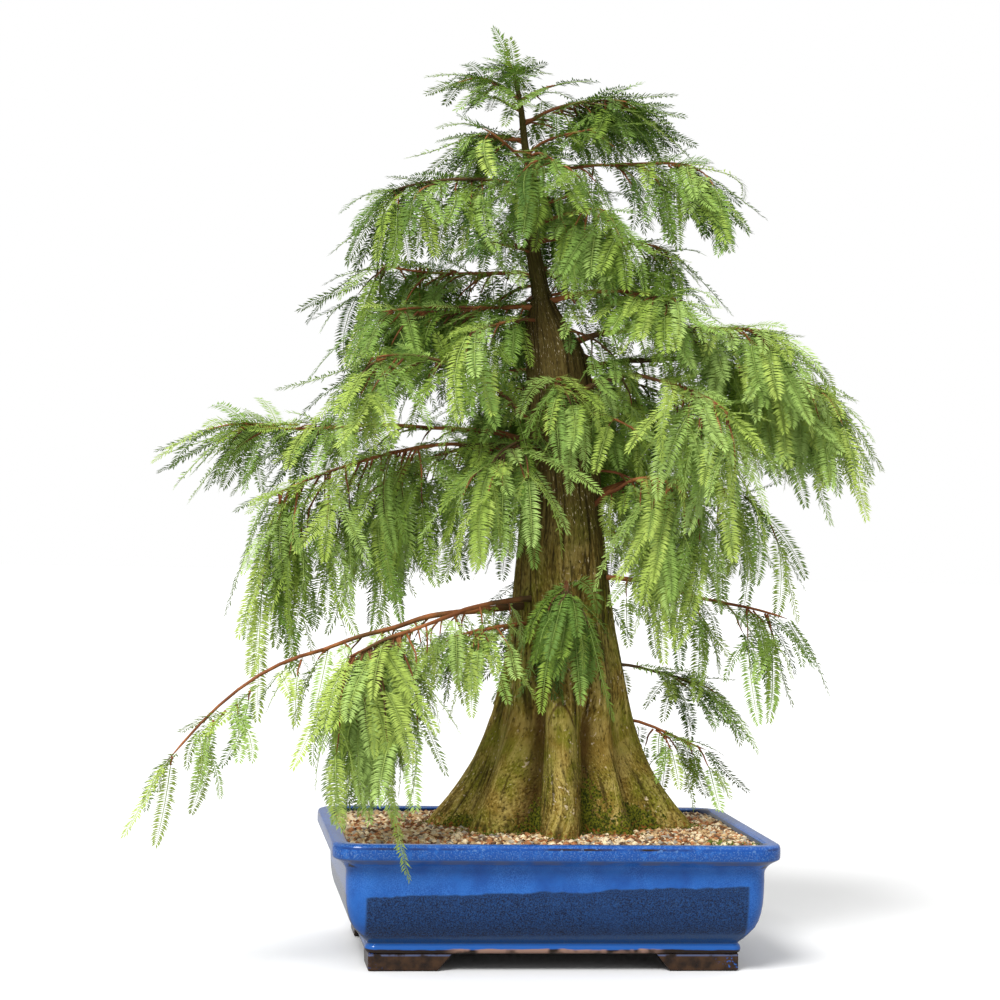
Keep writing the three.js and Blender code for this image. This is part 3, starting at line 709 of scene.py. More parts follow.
def stem_path(mass):
    """A mass's stem: it goes on from its bough's tip, or starts in the trunk."""
    goal = place(*mass.furthest)
    if on_trunk(mass):
        start = start_in_trunk(mass.grows_on, goal)
        end = stem_end(start, goal, mass.spray, mass.hang)
        return arched_path(start, end, stem_arch * np.linalg.norm(end - start), stem_steps)
    before, tip = bough_paths[mass.grows_on][-2:]
    ahead = unit(tip - before)
    start = tip + ahead * seat_gap
    end = stem_end(start, goal, mass.spray, mass.hang)
    bend = start + ahead * np.linalg.norm(end - start) * stem_bend
    return bezier(start, bend, end, stem_steps)


# %% Lay out the limbs and the stems
bough_paths = {bough.name: bough_path(bough.height, bough.tip) for bough in boughs}
leader_rises = np.array([leader_tip - leader_tip_stretch, leader_tip])
bough_paths["leader"] = trunk_middle(trunk_foot + leader_rises)
stems = [stem_path(mass) for mass in masses]
print("boughs", len(boughs), "stems", len(stems))


# %% [markdown]
# ## Keep each mass to its own space
# A twig is only kept where it is nearer to its own stem than to any other, and clear of the trunk,
# the boughs and the pot. This is what leaves the gaps of open sky between the masses.

# %% The space of each mass
def marks_of(stem, mass):
    """The places that a mass's space lies round: its stem, first spray, and below them."""
    end = stem[-1]
    ahead = unit(end - stem[-2])
    line = np.vstack([stem, end + ahead * mass.spray * 0.5])
    drop = (mass.reach + mass.spray / 2) * mass.hang * 0.5
    return np.vstack([line, line[2:] - (0, 0, drop)])


marks = [marks_of(stem, mass) for stem, mass in zip(stems, masses)]
all_marks = np.vstack(marks)
first_marks = np.cumsum([0] + [len(rows) for rows in marks])[:-1]
bough_starts = np.vstack([bough_paths[bough.name][:-1] for bough in boughs])
bough_ends = np.vstack([bough_paths[bough.name][1:] for bough in boughs])
bough_widths = np.repeat([bough.thick[0] for bough in boughs], bough_steps)


def in_space(points, own):
    """Whether points lie nearer to a mass's marks than to any other's."""
    away = np.linalg.norm(points[:, None] - all_marks[None], axis=-1)
    nearest = np.minimum.reduceat(away, first_marks, axis=1)
    near = nearest[:, own] + 2 * space_margin
    nearest[:, own] = np.inf
    return nearest.min(axis=1) > near


def clear_of_boughs(points, room):
    run = bough_ends - bough_starts
    along = ((points[:, None] - bough_starts) * run).sum(-1) / (run * run).sum(-1)
    foot = bough_starts + np.clip(along, 0, 1)[..., None] * run
    away = np.linalg.norm(points[:, None] - foot, axis=-1)
    return (away >= bough_widths + (room + clearance)[:, None]).all(axis=1)


def clear_of_trunk(points, room):
    away = (points - trunk_middle(points[:, 2]))[:, :2]
    heading = np.degrees(np.arctan2(away[:, 1], away[:, 0]))
    over_tip = points[:, 2] > trunk_foot + leader_tip + room
    least = trunk_radius(points[:, 2], heading) + room + clearance
    return over_tip | (np.linalg.norm(away, axis=1) > least)


def clear_of_pot(points, room):
    aside = np.abs(points[:, :2] - pot_middle)
    over_pot = (aside < np.array([pot_width, pot_depth]) / 2 + (room + clearance)[:, None]).all(axis=1)
    return points[:, 2] > np.where(over_pot, rim_height, 0) + room + clearance


def fits(points, room, own):
    """Whether points, each with the room it needs, keep to a mass's space."""
    room = np.broadcast_to(np.asarray(room, float), len(points))
    tests = (clear_of_pot, clear_of_trunk, clear_of_boughs)
    return all(test(points, room).all() for test in tests) and in_space(points, own).all()


# %% [markdown]
# ## Grow the shoots
# The rule of the model, with its own seeds: shoots leave the stem to its left and right in turn, and
# each ends in a spray. It is written again here step by step, so that the same shoots come out.

# %% The source's random numbers
def random_stream(seed):
    """A seeded source of numbers between a low and a high value."""
    state = seed

    def draw(low, high):
        nonlocal state
        state = (state * 1664525 + 1013904223) % 4294967296
        return mix(low, high, state / 4294967296)

    return draw


# %% A shoot
def shoot_frame(ahead, heading, roll):
    """The side and the face of a flat shoot that points ahead and lies along a heading."""
    level = heading_vector(heading + 90)
    level = unit(level - ahead * np.dot(level, ahead))
    over = np.cross(ahead, level)
    side = level * math.cos(math.radians(roll)) + over * math.sin(math.radians(roll))
    return side, np.cross(ahead, side)


def make_shoot(path, heading, roll, spray_length, droop):
    """A shoot: its path, and the blade that its spray fills."""
    root = path[-1]
    ahead = unit(root - path[-2])
    ahead = unit(mix(ahead, np.array([0, 0, -1.0]), droop))
    side, face = shoot_frame(ahead, heading, roll)
    half_width = spray_length * spray_width_share / 2
    sunk = face * spray_length * spray_thick_share * 0.5
    rib = [root + ahead * share * spray_length - sunk for share, _ in spray_outline]
    left = [at + side * out * half_width for at, (_, out) in zip(rib, spray_outline)]
    right = [at - side * out * half_width for at, (_, out) in zip(rib, spray_outline)]
    return {
        "path": path, "heading": heading, "roll": roll, "half_width": half_width, "root": root,
        "corners": np.array(left + right), "tip": root + ahead * spray_length - sunk,
        "side": side, "ahead": ahead,
    }


def probes_of(shoot):
    """Points along a shoot and the rib of its spray, and the room round each."""
    points, rooms = [], []
    stretches = [(a, b, False) for a, b in zip(shoot["path"], shoot["path"][1:])]
    stretches.append((shoot["root"], shoot["tip"], True))
    for start, end, is_spray in stretches:
        count = math.ceil(np.linalg.norm(end - start) / probe_step)
        shares = np.arange(1, count + 1) / count
        points.append(mix(start, end, shares[:, None]))
        broad = spray_room_share * shoot["half_width"] * np.minimum(1, shares / spray_outline[0][0])
        rooms.append(broad if is_spray else np.full(count, shoot_radius))
    return np.vstack(points), np.concatenate(rooms)


def shoot_fits(shoot, own, others):
    """Whether a shoot keeps to its mass's space, and apart from the mass's other shoots."""
    points, rooms = shoot["probes"]
    if not fits(points, rooms, own) or not fits(shoot["corners"], 0, own):
        return False
    free = np.linalg.norm(points - shoot["path"][0], axis=1) > crowded_root
    points, rooms = points[free], rooms[free]
    for other in others:
        taken, taken_rooms = other["probes"]
        away = np.linalg.norm(points[:, None] - taken[None], axis=-1)
        if (away <= (rooms[:, None] + taken_rooms[None]) * elbow_share + clearance).any():
            return False
    return True


# %% Shoots of every mass
def grow(own):
    """The shoots of one mass. The first is the stem itself."""
    mass, stem = masses[own], stems[own]
    draw = random_stream(first_seed + seed_step * own)
    outward = heading_of(stem[-1] - stem[0])
    leading = make_shoot(stem, outward, draw(*stem_roll), mass.spray, leading_droop * mass.hang)
    leading["probes"] = probes_of(leading)
    shoots = [leading]
    for k in range(mass.shoots * tries_per_shoot):
        if len(shoots) > mass.shoots:
            break
        share = mix(first_shoot_at, last_shoot_at, (0.5 + k * golden_share) % 1)
        start = place_on_stem(stem, share * stem_steps)
        heading = outward + (1 if k % 2 else -1) * draw(*shoot_turn)
        elevation = draw(*shoot_rise)
        length = mass.reach * draw(*shoot_length_share)
        roll = draw(*shoot_roll)
        path = drooping_path(start, heading, elevation, length, mass.hang, shoot_steps)
        for part in spray_shares:
            shoot = make_shoot(path, heading, roll, mass.spray * part, shoot_droop * mass.hang)
            shoot["probes"] = probes_of(shoot)
            if shoot_fits(shoot, own, shoots):
                shoots.append(shoot)
                break
    return shoots


shoots_of = [grow(own) for own in range(len(masses))]
print("shoots", sum(len(shoots) for shoots in shoots_of))

# %% [markdown]
# ## Strands of needles
# The model's toothed blades stand for whole branchlets. Each becomes a thin twig that ends in a long
# feathered strand and carries more strands to both sides. A strand is one rachis with needles in two
# rows. Level ones turn their face up and hanging ones turn it outward, as they do to catch the light.

# %% Lines
line_points = 9
line_fineness, line_rounding = 4, 6


def smooth_line(knots, count=line_points):
    """A line through knots, evenly spaced, with its corners rounded."""
    knots = np.asarray(knots, float)
    lengths = lengths_along(knots)
    at = np.linspace(0, lengths[-1], line_fineness * (count - 1) + 1)
    line = points_along(knots, lengths, at)
    for _ in range(line_rounding):
        line[1:-1] = (line[:-2] + 2 * line[1:-1] + line[2:]) / 4
    return line[::line_fineness]


def at_distance(line, far):
    """The place and the direction at a distance along a line."""
    lengths = lengths_along(line)
    index = int(np.clip(np.searchsorted(lengths, far), 1, len(line) - 1))
    return points_along(line, lengths, far), unit(line[index] - line[index - 1])


gap_spread = (0.7, 1.3)


def stations_along(line, first, last, gap, sign, rng):
    """Stations from one share of a line to another, for things to its left and right in turn.
    Each is its share of the line, its place, its direction and its side."""
    total = steps_of(line).sum()
    far = first * total
    while far < last * total:
        yield far / total, *at_distance(line, far), sign
        far += gap * rng.uniform(*gap_spread)
        sign = -sign


# %% Strands
strand_steps = 6
strand_wander, lie_drift = 0.24, 0.24
strand_spare = 6.0
down = np.array([0, 0, -1.0])
strands = []
twigs = []


def strand_line(start, ahead, length, sag, rng):
    """A strand's rachis: it sets off ahead, sags towards straight down, and wanders a little."""
    wander = rng.normal(0, strand_wander, 3)
    points = [start]
    for i in range(1, strand_steps + 1):
        share = i / strand_steps
        way = unit(ahead * (1 - sag * share) + down * sag * share + wander * share)
        points.append(points[-1] + way * length / strand_steps)
    return smooth_line(points)


def lie_of(line, rng):
    """The way that a strand's needles lie to each side of it: level, across the way it sets off."""
    start = line[1] - line[0]
    across = np.cross((0, 0, 1.0), start)
    if np.linalg.norm(across) < 0.2 * np.linalg.norm(start):
        across = rng.normal(0, 1, 3)
    return unit(unit(across) + rng.normal(0, lie_drift, 3))


def add_strand(line, needle, tone, rng):
    """Keeps a strand: its line, the way it lies, how long its needles are, and its tone."""
    strands.append({"line": line, "side": lie_of(line, rng), "needle": needle, "tone": tone})


def add_twig(line, radius, tip_radius):
    twigs.append({"line": line, "radius": (radius, tip_radius)})


def within_reach(line):
    """Whether a strand keeps to the model's own reach, with a little to spare."""
    low, high = np.array(cad_box) / metres
    return (line > low - strand_spare).all() and (line < high + strand_spare).all()


# %% Strands to both sides of a twig
strand_gap, strands_from, strands_to = 27, 0.12, 0.93
strand_angles, strand_lifts = (28, 60), (-0.5, 0.5)
strand_thinning, strand_lengths, sag_spread = 0.75, (0.65, 1.2), (0.75, 1.15)
needle_spread, strand_drift = (0.85, 1.1), 0.17
# The room that a strand keeps from trunk and pot, and how many of its first points need none
strand_room, strand_points_free = 2.0, 3


def side_strands(line, side, length, sag, needle, tone, rng):
    """Strands to the left and right of a twig in turn, shorter towards its tip."""
    sign = rng.choice([-1, 1])
    stations = stations_along(line, strands_from, strands_to, strand_gap, sign, rng)
    for share, start, ahead, sign in stations:
        angle = math.radians(rng.uniform(*strand_angles))
        aside = unit(sign * side + rng.uniform(*strand_lifts) * np.cross(ahead, side))
        way = ahead * math.cos(angle) + aside * math.sin(angle)
        size = length * mix(1.0, strand_thinning, share) * rng.uniform(*strand_lengths)
        rachis = strand_line(start, way, size, sag * rng.uniform(*sag_spread), rng)
        room = np.full(len(rachis), strand_room)
        tests = (clear_of_trunk, clear_of_pot)
        clear = all(test(rachis, room)[strand_points_free:].all() for test in tests)
        if clear and within_reach(rachis):
            needle_here = needle * rng.uniform(*needle_spread)
            add_strand(rachis, needle_here, tone + rng.normal(0, strand_drift), rng)


# %% Dress a shoot
needle_lengths, needle_sprays = (9.5, 12.5), (40, 110)
strand_share, strand_least, strand_most = 0.84, 38, 108
strand_sags, sag_power, leading_sag = (0.1, 0.86), 0.8, 0.4
stem_radii, shoot_radii = (2.2, 1.1), (1.25, 0.6)
shoot_drift, twig_wander = 0.1, 0.022
twig_past_root = 0.15


def strayed(line, rng):
    """A line that strays a little to both sides between its two ends."""
    share = np.linspace(0, 1, len(line))[:, None]
    length = np.linalg.norm(line[-1] - line[0])
    bow = rng.normal(0, twig_wander, 3) * np.sin(np.pi * share)
    return line + length * (bow + rng.normal(0, twig_wander / 2, 3) * np.sin(2 * np.pi * share))


def dress_shoot(shoot, hang, spray, tone, rng, radii=shoot_radii):
    """A twig along a shoot, a strand at its end, and strands to both sides."""
    tone = tone + rng.normal(0, shoot_drift)
    shortest, longest = needle_sprays
    needle = mix(*needle_lengths, np.clip((spray - shortest) / (longest - shortest), 0, 1))
    add_twig(strayed(smooth_line(shoot["path"]), rng), *radii)
    length = np.linalg.norm(shoot["tip"] - shoot["root"])
    end = strand_line(shoot["root"], shoot["ahead"], length, leading_sag * hang, rng)
    if within_reach(end):
        add_strand(end, needle, tone + rng.normal(0, strand_drift), rng)
    knots = np.vstack([shoot["path"], mix(shoot["root"], shoot["tip"], twig_past_root)])
    size = np.clip(spray * strand_share, strand_least, strand_most)
    sag = mix(*strand_sags, hang**sag_power)
    side_strands(smooth_line(knots), shoot["side"], size, sag, needle, tone, rng)


# %% Finer shoots
finer_tries, finer_at = 4, (0.04, 0.99)
finer_length_share, finer_spray = (0.25, 1.1), (0.55, 0.95)
# A finer shoot needs less room than a first one, and only its last points keep to the space
finer_room, finer_points_kept = 0.4, 3


def finer_shoots(own, rng):
    """More shoots by the same rule, which may mingle with the first ones."""
    mass, stem = masses[own], stems[own]
    outward = heading_of(stem[-1] - stem[0])
    wanted = mass.shoots * mass.finer
    made = []
    for k in range(round(wanted * finer_tries)):
        if len(made) >= wanted:
            break
        start = place_on_stem(stem, rng.uniform(*finer_at) * stem_steps)
        heading = outward + (1 if k % 2 else -1) * rng.uniform(*shoot_turn)
        length = mass.reach * rng.uniform(*finer_length_share)
        path = drooping_path(start, heading, rng.uniform(*shoot_rise), length, mass.hang, shoot_steps)
        blade = mass.spray * rng.uniform(*finer_spray)
        shoot = make_shoot(path, heading, rng.uniform(*shoot_roll), blade, shoot_droop * mass.hang)
        points, rooms = probes_of(shoot)
        clear = all(test(points, rooms * finer_room).all() for test in (clear_of_pot, clear_of_trunk))
        if clear and in_space(points[-finer_points_kept:], own).any():
            made.append(shoot)
    return made


# %% Dress the masses
first_rng = 1000
for own, (mass, shoots) in enumerate(zip(masses, shoots_of)):
    rng = np.random.default_rng(first_rng + own)
    look = (mass.hang, mass.spray, mass.tone, rng)
    dress_shoot(shoots[0], *look, stem_radii)
    for shoot in shoots[1:] + finer_shoots(own, rng):
        dress_shoot(shoot, *look)
print("strands", len(strands), "twigs", len(twigs))

# %% [markdown]
# ## Sprigs along the limbs
# A cypress also carries short twigs along its limbs and all the way up its leader. They hide the bare
# wood inside the crown. The lower limbs keep theirs further out, as a grower thins them.

# %% Sprigs along the boughs
sprig_gap = 21
sprig_turn, sprig_rise = (30, 105), (-20, 35)
sprig_length, sprig_spray = (14, 40), (44, 78)
sprig_rooms = (0.4, 0.3)
bare_to_low, bare_to_high = 0.28, 0.3
thinned_below, full_above = 420, 500


def add_sprig(start, heading, elevation, hang, tone, rng, sprays):
    """A short twig with its strands, where there is room for it."""
    length, spray = rng.uniform(*sprig_length), rng.uniform(*sprays)
    path = drooping_path(start, heading, elevation, length, hang, shoot_steps)
    shoot = make_shoot(path, heading, rng.uniform(*shoot_roll), spray, shoot_droop * hang)
    points, rooms = probes_of(shoot)
    off_pot = clear_of_pot(points, rooms * sprig_rooms[0]).all()
    if off_pot and clear_of_trunk(points, rooms * sprig_rooms[1])[2:].all():
        dress_shoot(shoot, hang, spray, tone, rng)


def sprigs_on_bough(path, hang, tone, rng, sprays=sprig_spray):
    """Sprigs to both sides of a bough, from where it is no longer bare to its tip."""
    line = smooth_line(path)
    bare_to = np.interp(line[0][2], [thinned_below, full_above], [bare_to_low, bare_to_high])
    outward = heading_of(line[-1] - line[0])
    for _, start, _, sign in stations_along(line, bare_to, 1, sprig_gap, 1, rng):
        heading = outward + sign * rng.uniform(*sprig_turn)
        add_sprig(start, heading, rng.uniform(*sprig_rise), hang, tone, rng, sprays)


look_of = {mass.grows_on: (mass.hang, mass.tone) for mass in masses if not on_trunk(mass)}
sprig_rng = np.random.default_rng(61)
for bough in boughs:
    sprigs_on_bough(bough_paths[bough.name], *look_of[bough.name], sprig_rng)

# %% Lesser limbs up the trunk and the leader
lesser_from, lesser_to, lesser_gap = 452, 905, 11.6
# Height, and how long the longest lesser limbs are there
lesser_reach = [(452, 115), (560, 125), (650, 130), (750, 120), (850, 88), (905, 55)]
# Height, the least and the greatest rise in degrees, and the hang
lesser_ways = [(452, 2, 35, 0.5), (700, 5, 42, 0.42), (840, 22, 52, 0.2), (905, 22, 46, 0.15)]
lesser_steps, lesser_sunk, lesser_radii = 4, 0.6, (1.9, 0.9)
lesser_length_share, lesser_turn, lesser_sprig_hang = (0.55, 1.0), (-20, 20), 0.1
# Headings that stay open, so that the trunk and the leader show between the masses: from, to, below
open_headings = [(150, 302, 690), (238, 288, 880)]
# Tone from the foot of this stretch to its top
lesser_tones = (0.66, 0.42)
golden_angle = 137.5


def lesser_limb(height, heading, rng):
    """A thin limb with sprigs to both sides and a strand at its tip."""
    outward = heading_vector(heading) * trunk_radius(height, heading)
    start = trunk_middle(height) + outward * lesser_sunk
    length = table(lesser_reach, height)[0] * rng.uniform(*lesser_length_share)
    least, most, hang = table(lesser_ways, height)
    path = drooping_path(start, heading, rng.uniform(least, most), length, hang, lesser_steps)
    if not clear_of_boughs(path[1:], np.zeros(lesser_steps)).all():
        return
    tone = mix(*lesser_tones, (height - lesser_from) / (lesser_to - lesser_from))
    spray = rng.uniform(*sprig_spray)
    limb = make_shoot(path, heading, 0, spray, shoot_droop * hang)
    dress_shoot(limb, hang, spray, tone, rng, lesser_radii)
    sprigs_on_bough(path, hang + lesser_sprig_hang, tone, rng)


for number, height in enumerate(np.arange(lesser_from, lesser_to, lesser_gap)):
    heading = (number * golden_angle + sprig_rng.uniform(*lesser_turn)) % 360
    if not any(low < heading < high and height < top for low, high, top in open_headings):
        lesser_limb(height, heading, sprig_rng)
print("with sprigs: strands", len(strands), "twigs", len(twigs))

# %% [markdown]
# ## Strands along the crests
# From above a limb's back would be a bare line. On the real tree short strands also rise from it to
# both sides. They are single strands, set straight on the bough or on a mass's stem. The outer mass on
# the right gets a second set of longer sprigs, since the photo shows a deep fringe under it.

# %% Crest strands
crest_gap, crest_from = 15, 0.3
crest_length, crest_aside, crest_up, crest_sag = (30, 56), (0.3, 1.1), (0.15, 0.7), 0.35
crest_needle = 10.5
fringed_mass, fringe_hang, fringe_tone, fringe_sprays = "right_outer", 1.0, 0.75, (110, 130)


def crest_strands(line, tone, rng):
    """Short strands that rise from the back of a limb, to both sides in turn."""
    for _, start, ahead, sign in stations_along(line, crest_from, 1, crest_gap, 1, rng):
        across = unit(np.cross(ahead, down))
        way = unit(ahead + sign * across * rng.uniform(*crest_aside) - down * rng.uniform(*crest_up))
        rachis = strand_line(start, way, rng.uniform(*crest_length), crest_sag, rng)
        if within_reach(rachis):
            add_strand(rachis, crest_needle, tone + rng.normal(0, strand_drift), rng)


crest_rng = np.random.default_rng(83)
crests = [(bough_paths[bough.name], look_of[bough.name][1]) for bough in boughs]
crests += [(stem, mass.tone) for stem, mass in zip(stems, masses)]
for limb, tone in crests:
    if limb[0][2] > full_above:
        crest_strands(smooth_line(limb), tone, crest_rng)
fringed_stem = stems[[mass.name for mass in masses].index(fringed_mass)]
sprigs_on_bough(fringed_stem, fringe_hang, fringe_tone, crest_rng, fringe_sprays)
print("with crests: strands", len(strands), "twigs", len(twigs))

# %% [markdown]
# ## Needles
# A needle is a narrow kite that bends at its widest place: two triangles. It leaves the rachis almost
# square, then turns towards the strand's tip and droops a little. All needles of one tint are one
# mesh. The tints are plain colours, dealt out by strand: dark where the foliage is old, and dark as
# painted shade where it lies deep in the tree, yellow-green where it is fresh. Each comes in a cooler
# and a warmer hue, since no two sprays of a live tree are quite the same green.

# %% Needles
needle_gap = 1.95
needle_width = 1.75
needle_curl = 14
needle_droop = 0.08
belly_share = 0.48
kite = [(0, 1, 2), (1, 3, 2)]
# How much the needles of a strand differ in lean, in degrees, in how they stand up, and in size
lean_spread, needle_stand, needle_sizes = 5, (0.08, 0.15), (0.86, 1.1)
# Share of the strand, and the needle's angle to the rachis or its length as a share there
lean_along = [(0, 86), (0.75, 76), (0.93, 62), (1, 40)]
length_along = [(0, 0.6), (0.07, 0.9), (0.2, 1), (0.72, 0.96), (0.9, 0.76), (1, 0.5)]


def row_of_needles(strand, sign, rng):
    """The root, the two sides of the belly and the tip of every needle on one side of a strand."""
    line = strand["line"]
    lengths = lengths_along(line)
    at = np.arange(needle_gap * (1.5 if sign > 0 else 1), lengths[-1] + 0.1, needle_gap)
    roots = points_along(line, lengths, at)
    ahead = unit(points_along(unit(np.gradient(line, axis=0)), lengths, at))
    side = unit(strand["side"] - ahead * (ahead @ strand["side"])[:, None])
    over = np.cross(ahead, side)
    along = at / lengths[-1]
    lean = np.radians(table(lean_along, along) + rng.normal(0, lean_spread, (len(at), 1)))
    curled = lean - math.radians(needle_curl)
    outward = side * sign + over * rng.normal(*needle_stand, len(at))[:, None]
    size = strand["needle"] * table(length_along, along)
    size = size * rng.uniform(*needle_sizes, (len(at), 1))
    way = unit(ahead * np.cos(lean) + outward * np.sin(lean))
    bent = unit(ahead * np.cos(curled) + outward * np.sin(curled) + down * needle_droop)
    belly = roots + way * size * belly_share
    broad = unit(np.cross(way, over)) * needle_width / 2
    tips = belly + bent * size * (1 - belly_share)
    return np.stack([roots, belly - broad, belly + broad, tips], 1)


# %% Needle tints
# The darker tints stand for old needles and also for painted shade deep in the tree.
tints = {
    "needles_deep": (0.096, 0.172, 0.029),
    "needles_dark": (0.156, 0.257, 0.041),
    "needles_mid": (0.236, 0.364, 0.060),
    "needles_fresh": (0.316, 0.460, 0.084),
    "needles_light": (0.390, 0.535, 0.112),
    "needles_pale": (0.450, 0.595, 0.142),
}
hues = {"cool": (0.92, 0.985, 1.10), "warm": (1.015, 1.0, 0.84)}
hue_step, warm_share = 0.618, 0.45
most_needles = 95000


def tint_material(name, colour):
    """A soft green with a little wander in its tone."""
    return tinted(name, colour, roughness=0.6, gloss=0.15, darker=0.84, per_metre=60)[0]


# %% Deal the needles out by tint
needle_rng = np.random.default_rng(7)
tint_names = list(tints)
dealt = {(tint, hue): [] for tint in tint_names for hue in hues}
for number, strand in enumerate(strands):
    index = int(np.clip(strand["tone"] * len(tint_names), 0, len(tint_names) - 1))
    hue = "warm" if number * hue_step % 1 < warm_share else "cool"
    for sign in (-1, 1):
        dealt[tint_names[index], hue].append(row_of_needles(strand, sign, needle_rng))
for (tint, hue), groups in dealt.items():
    name = f"{tint}_{hue}"
    corners = np.concatenate(groups)
    material = tint_material(name, tuple(np.multiply(tints[tint], hues[hue])))
    for part, share in enumerate(np.array_split(corners, math.ceil(len(corners) / most_needles))):
        mesh = mesh_from_arrays(f"{name}_{part + 1}", *copies(share, kite))
        piece = piece_from_mesh(f"{name}_{part + 1}", mesh, material, smooth=False)
    print(name, len(corners), "needles")

# %% [markdown]
# ## Twigs and rachises
# The twigs are thin tubes that narrow to a point. Woody ones are red-brown. The rachis that carries
# the needles of a spray is as green as they are, darker in old sprays and where the tone is painted
# shade, lighter in fresh ones.

# %% Tubes
def join_tubes(lines, across, radii, sides):
    """Closed tubes along lines: lines are tubes, points, xyz, and each ends in a point."""
    count, stations = lines.shape[:2]
    ahead = unit(np.gradient(lines, axis=1))
    side = unit(across[:, None] - ahead * (ahead * across[:, None]).sum(-1, keepdims=True))
    over = np.cross(ahead, side)
    turns = 2 * np.pi * np.arange(sides) / sides
    ring = (side[:, :, None] * np.cos(turns)[:, None] + over[:, :, None] * np.sin(turns)[:, None])
    shares = np.linspace(0, 1, stations)
    thick = mix(radii[:, :1], radii[:, 1:], shares)
    points = lines[:, :, None] + ring * thick[:, :, None, None]
    points = points[:, :-1].reshape(count, -1, 3)
    points = np.concatenate([points, lines[:, -1:]], axis=1)
    triangles = []
    for level in range(stations - 2):
        for k in range(sides):
            a, b = level * sides + k, level * sides + (k + 1) % sides
            triangles += [(a, b, b + sides), (a, b + sides, a + sides)]
    last = (stations - 2) * sides
    for k in range(sides):
        triangles.append((last + k, last + (k + 1) % sides, (stations - 1) * sides))
    triangles += [(0, k + 1, k) for k in range(1, sides - 1)]
    return copies(points, triangles)


# %% Twigs
twig_brown = (0.20, 0.068, 0.024)
twig_orange = (0.42, 0.155, 0.055)
twig_grey = (0.105, 0.062, 0.026)
twig_sides, rachis_sides = 6, 3


def bark_of_twigs():
    """Thin bark: orange-brown on fresh wood, darker and greyer in patches."""
    material, tree, shader = new_material("twig bark", 0.7, gloss=0.25)
    spot = object_place(tree)
    paint(tree, shader, layered(
        tree, twig_brown,
        (patches(tree, spot, 35, 0.35, 0.65), twig_orange),
        (patches(tree, spot, 9, 0.5, 0.62), twig_grey)))
    add_bump(tree, shader, fibres(tree, spot, 900, 0.5), 0.0004)
    return material


twig_bark = bark_of_twigs()
foliage_nodes = [name for name in node_names if name.startswith("foliage_")]
twig_lines = np.array([twig["line"] for twig in twigs])
twig_across = unit(np.cross(twig_lines[:, -1] - twig_lines[:, 0], (0.3, 0.2, 1.0)))
twig_radii = np.array([twig["radius"] for twig in twigs])
twig_mesh = mesh_from_arrays("twigs", *join_tubes(twig_lines, twig_across, twig_radii, twig_sides))
twig_piece = piece_from_mesh("twigs", twig_mesh, twig_bark)
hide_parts(*foliage_nodes)

# %% Rachises
rachis_radius, rachis_tip_radius = 0.65, 0.3
# The tones that each kind covers, and its colour
rachis_kinds = {
    "rachises_dark": (-1, 0.6, (0.27, 0.39, 0.088)),
    "rachises_light": (0.6, 2, (0.41, 0.55, 0.13)),
}


def make_rachises(name, least, most, colour):
    """The rachises of the strands of these tones, as one piece."""
    chosen = [strand for strand in strands if least <= strand["tone"] < most]
    lines = np.array([strand["line"][::2] for strand in chosen])
    across = np.array([strand["side"] for strand in chosen])
    radii = np.tile([rachis_radius, rachis_tip_radius], (len(chosen), 1))
    mesh = mesh_from_arrays(name, *join_tubes(lines, across, radii, rachis_sides))
    piece_from_mesh(name, mesh, tint_material(name, colour))
    print(name, len(mesh.polygons), "triangles")


for name, kind in rachis_kinds.items():
    make_rachises(name, *kind)
print("twig triangles", len(twig_mesh.polygons))

# %% [markdown]
# ## Boughs
# Each bough is one limb that tapers, swells where it leaves the trunk, and wanders a little. It is a
# skin extruded over rings, with the bark's own relief on it.

# %% Boughs
bough_sides, bough_stations = 14, 36
bough_wander, bough_slimness = 2.6, 0.86
# How far apart the noise is read for the three axes
wander_apart = (0.4, 3.7, 7.1)
collar_swell, collar_fade = 0.6, 14
ridge_height, ridge_count, ridge_length_share = 0.16, 2, 9


def wandering(points, amount, seed):
    """Points moved a little by a smooth noise that is still at both ends."""
    shares = np.linspace(0, 1, len(points))
    for i, share in enumerate(shares):
        drift = [noise.noise(Vector((seed + apart, 4.0 * share, 0.5))) for apart in wander_apart]
        points[i] += np.array(drift) * amount * math.sin(math.pi * share)
    return points


def bough_rings(path, thick, seed):
    """Rings round a bough's path: tapering, with a collar at its root and ridges along it."""
    line = wandering(smooth_line(path, bough_stations), bough_wander, seed)
    ahead = unit(np.gradient(line, axis=0))
    across = unit(np.array([-(line[-1] - line[0])[1], (line[-1] - line[0])[0], 0]))
    side = unit(across - ahead * (ahead @ across)[:, None])
    over = np.cross(ahead, side)
    shares = np.linspace(0, 1, bough_stations)
    collar = 1 + collar_swell * np.exp(-shares * collar_fade)
    radius = bough_slimness * mix(*thick, shares) * collar
    rings = []
    for i in range(bough_stations):
        ring = []
        for k in range(bough_sides):
            turn = 2 * math.pi * k / bough_sides
            way = side[i] * math.cos(turn) + over[i] * math.sin(turn)
            ridge = noise.noise(Vector((
                ridge_count * math.cos(turn) + seed, ridge_count * math.sin(turn),
                shares[i] * ridge_length_share)))
            ring.append(line[i] + way * radius[i] * (1 + ridge_height * ridge))
        rings.append(ring)
    return np.array(rings)


bough_joined = bmesh.new()
for number, bough in enumerate(boughs):
    rings = bough_rings(bough_paths[bough.name], bough.thick, 10.0 * number)
    bough_joined.from_mesh(skin_over_rings(bough.name, rings))
bough_mesh = finished(bough_joined, "boughs")
bough_piece = piece_from_mesh("boughs", bough_mesh, twig_bark)
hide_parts(*[name for name in node_names if name.startswith("bough_")])
print("bough faces", len(bough_mesh.polygons))
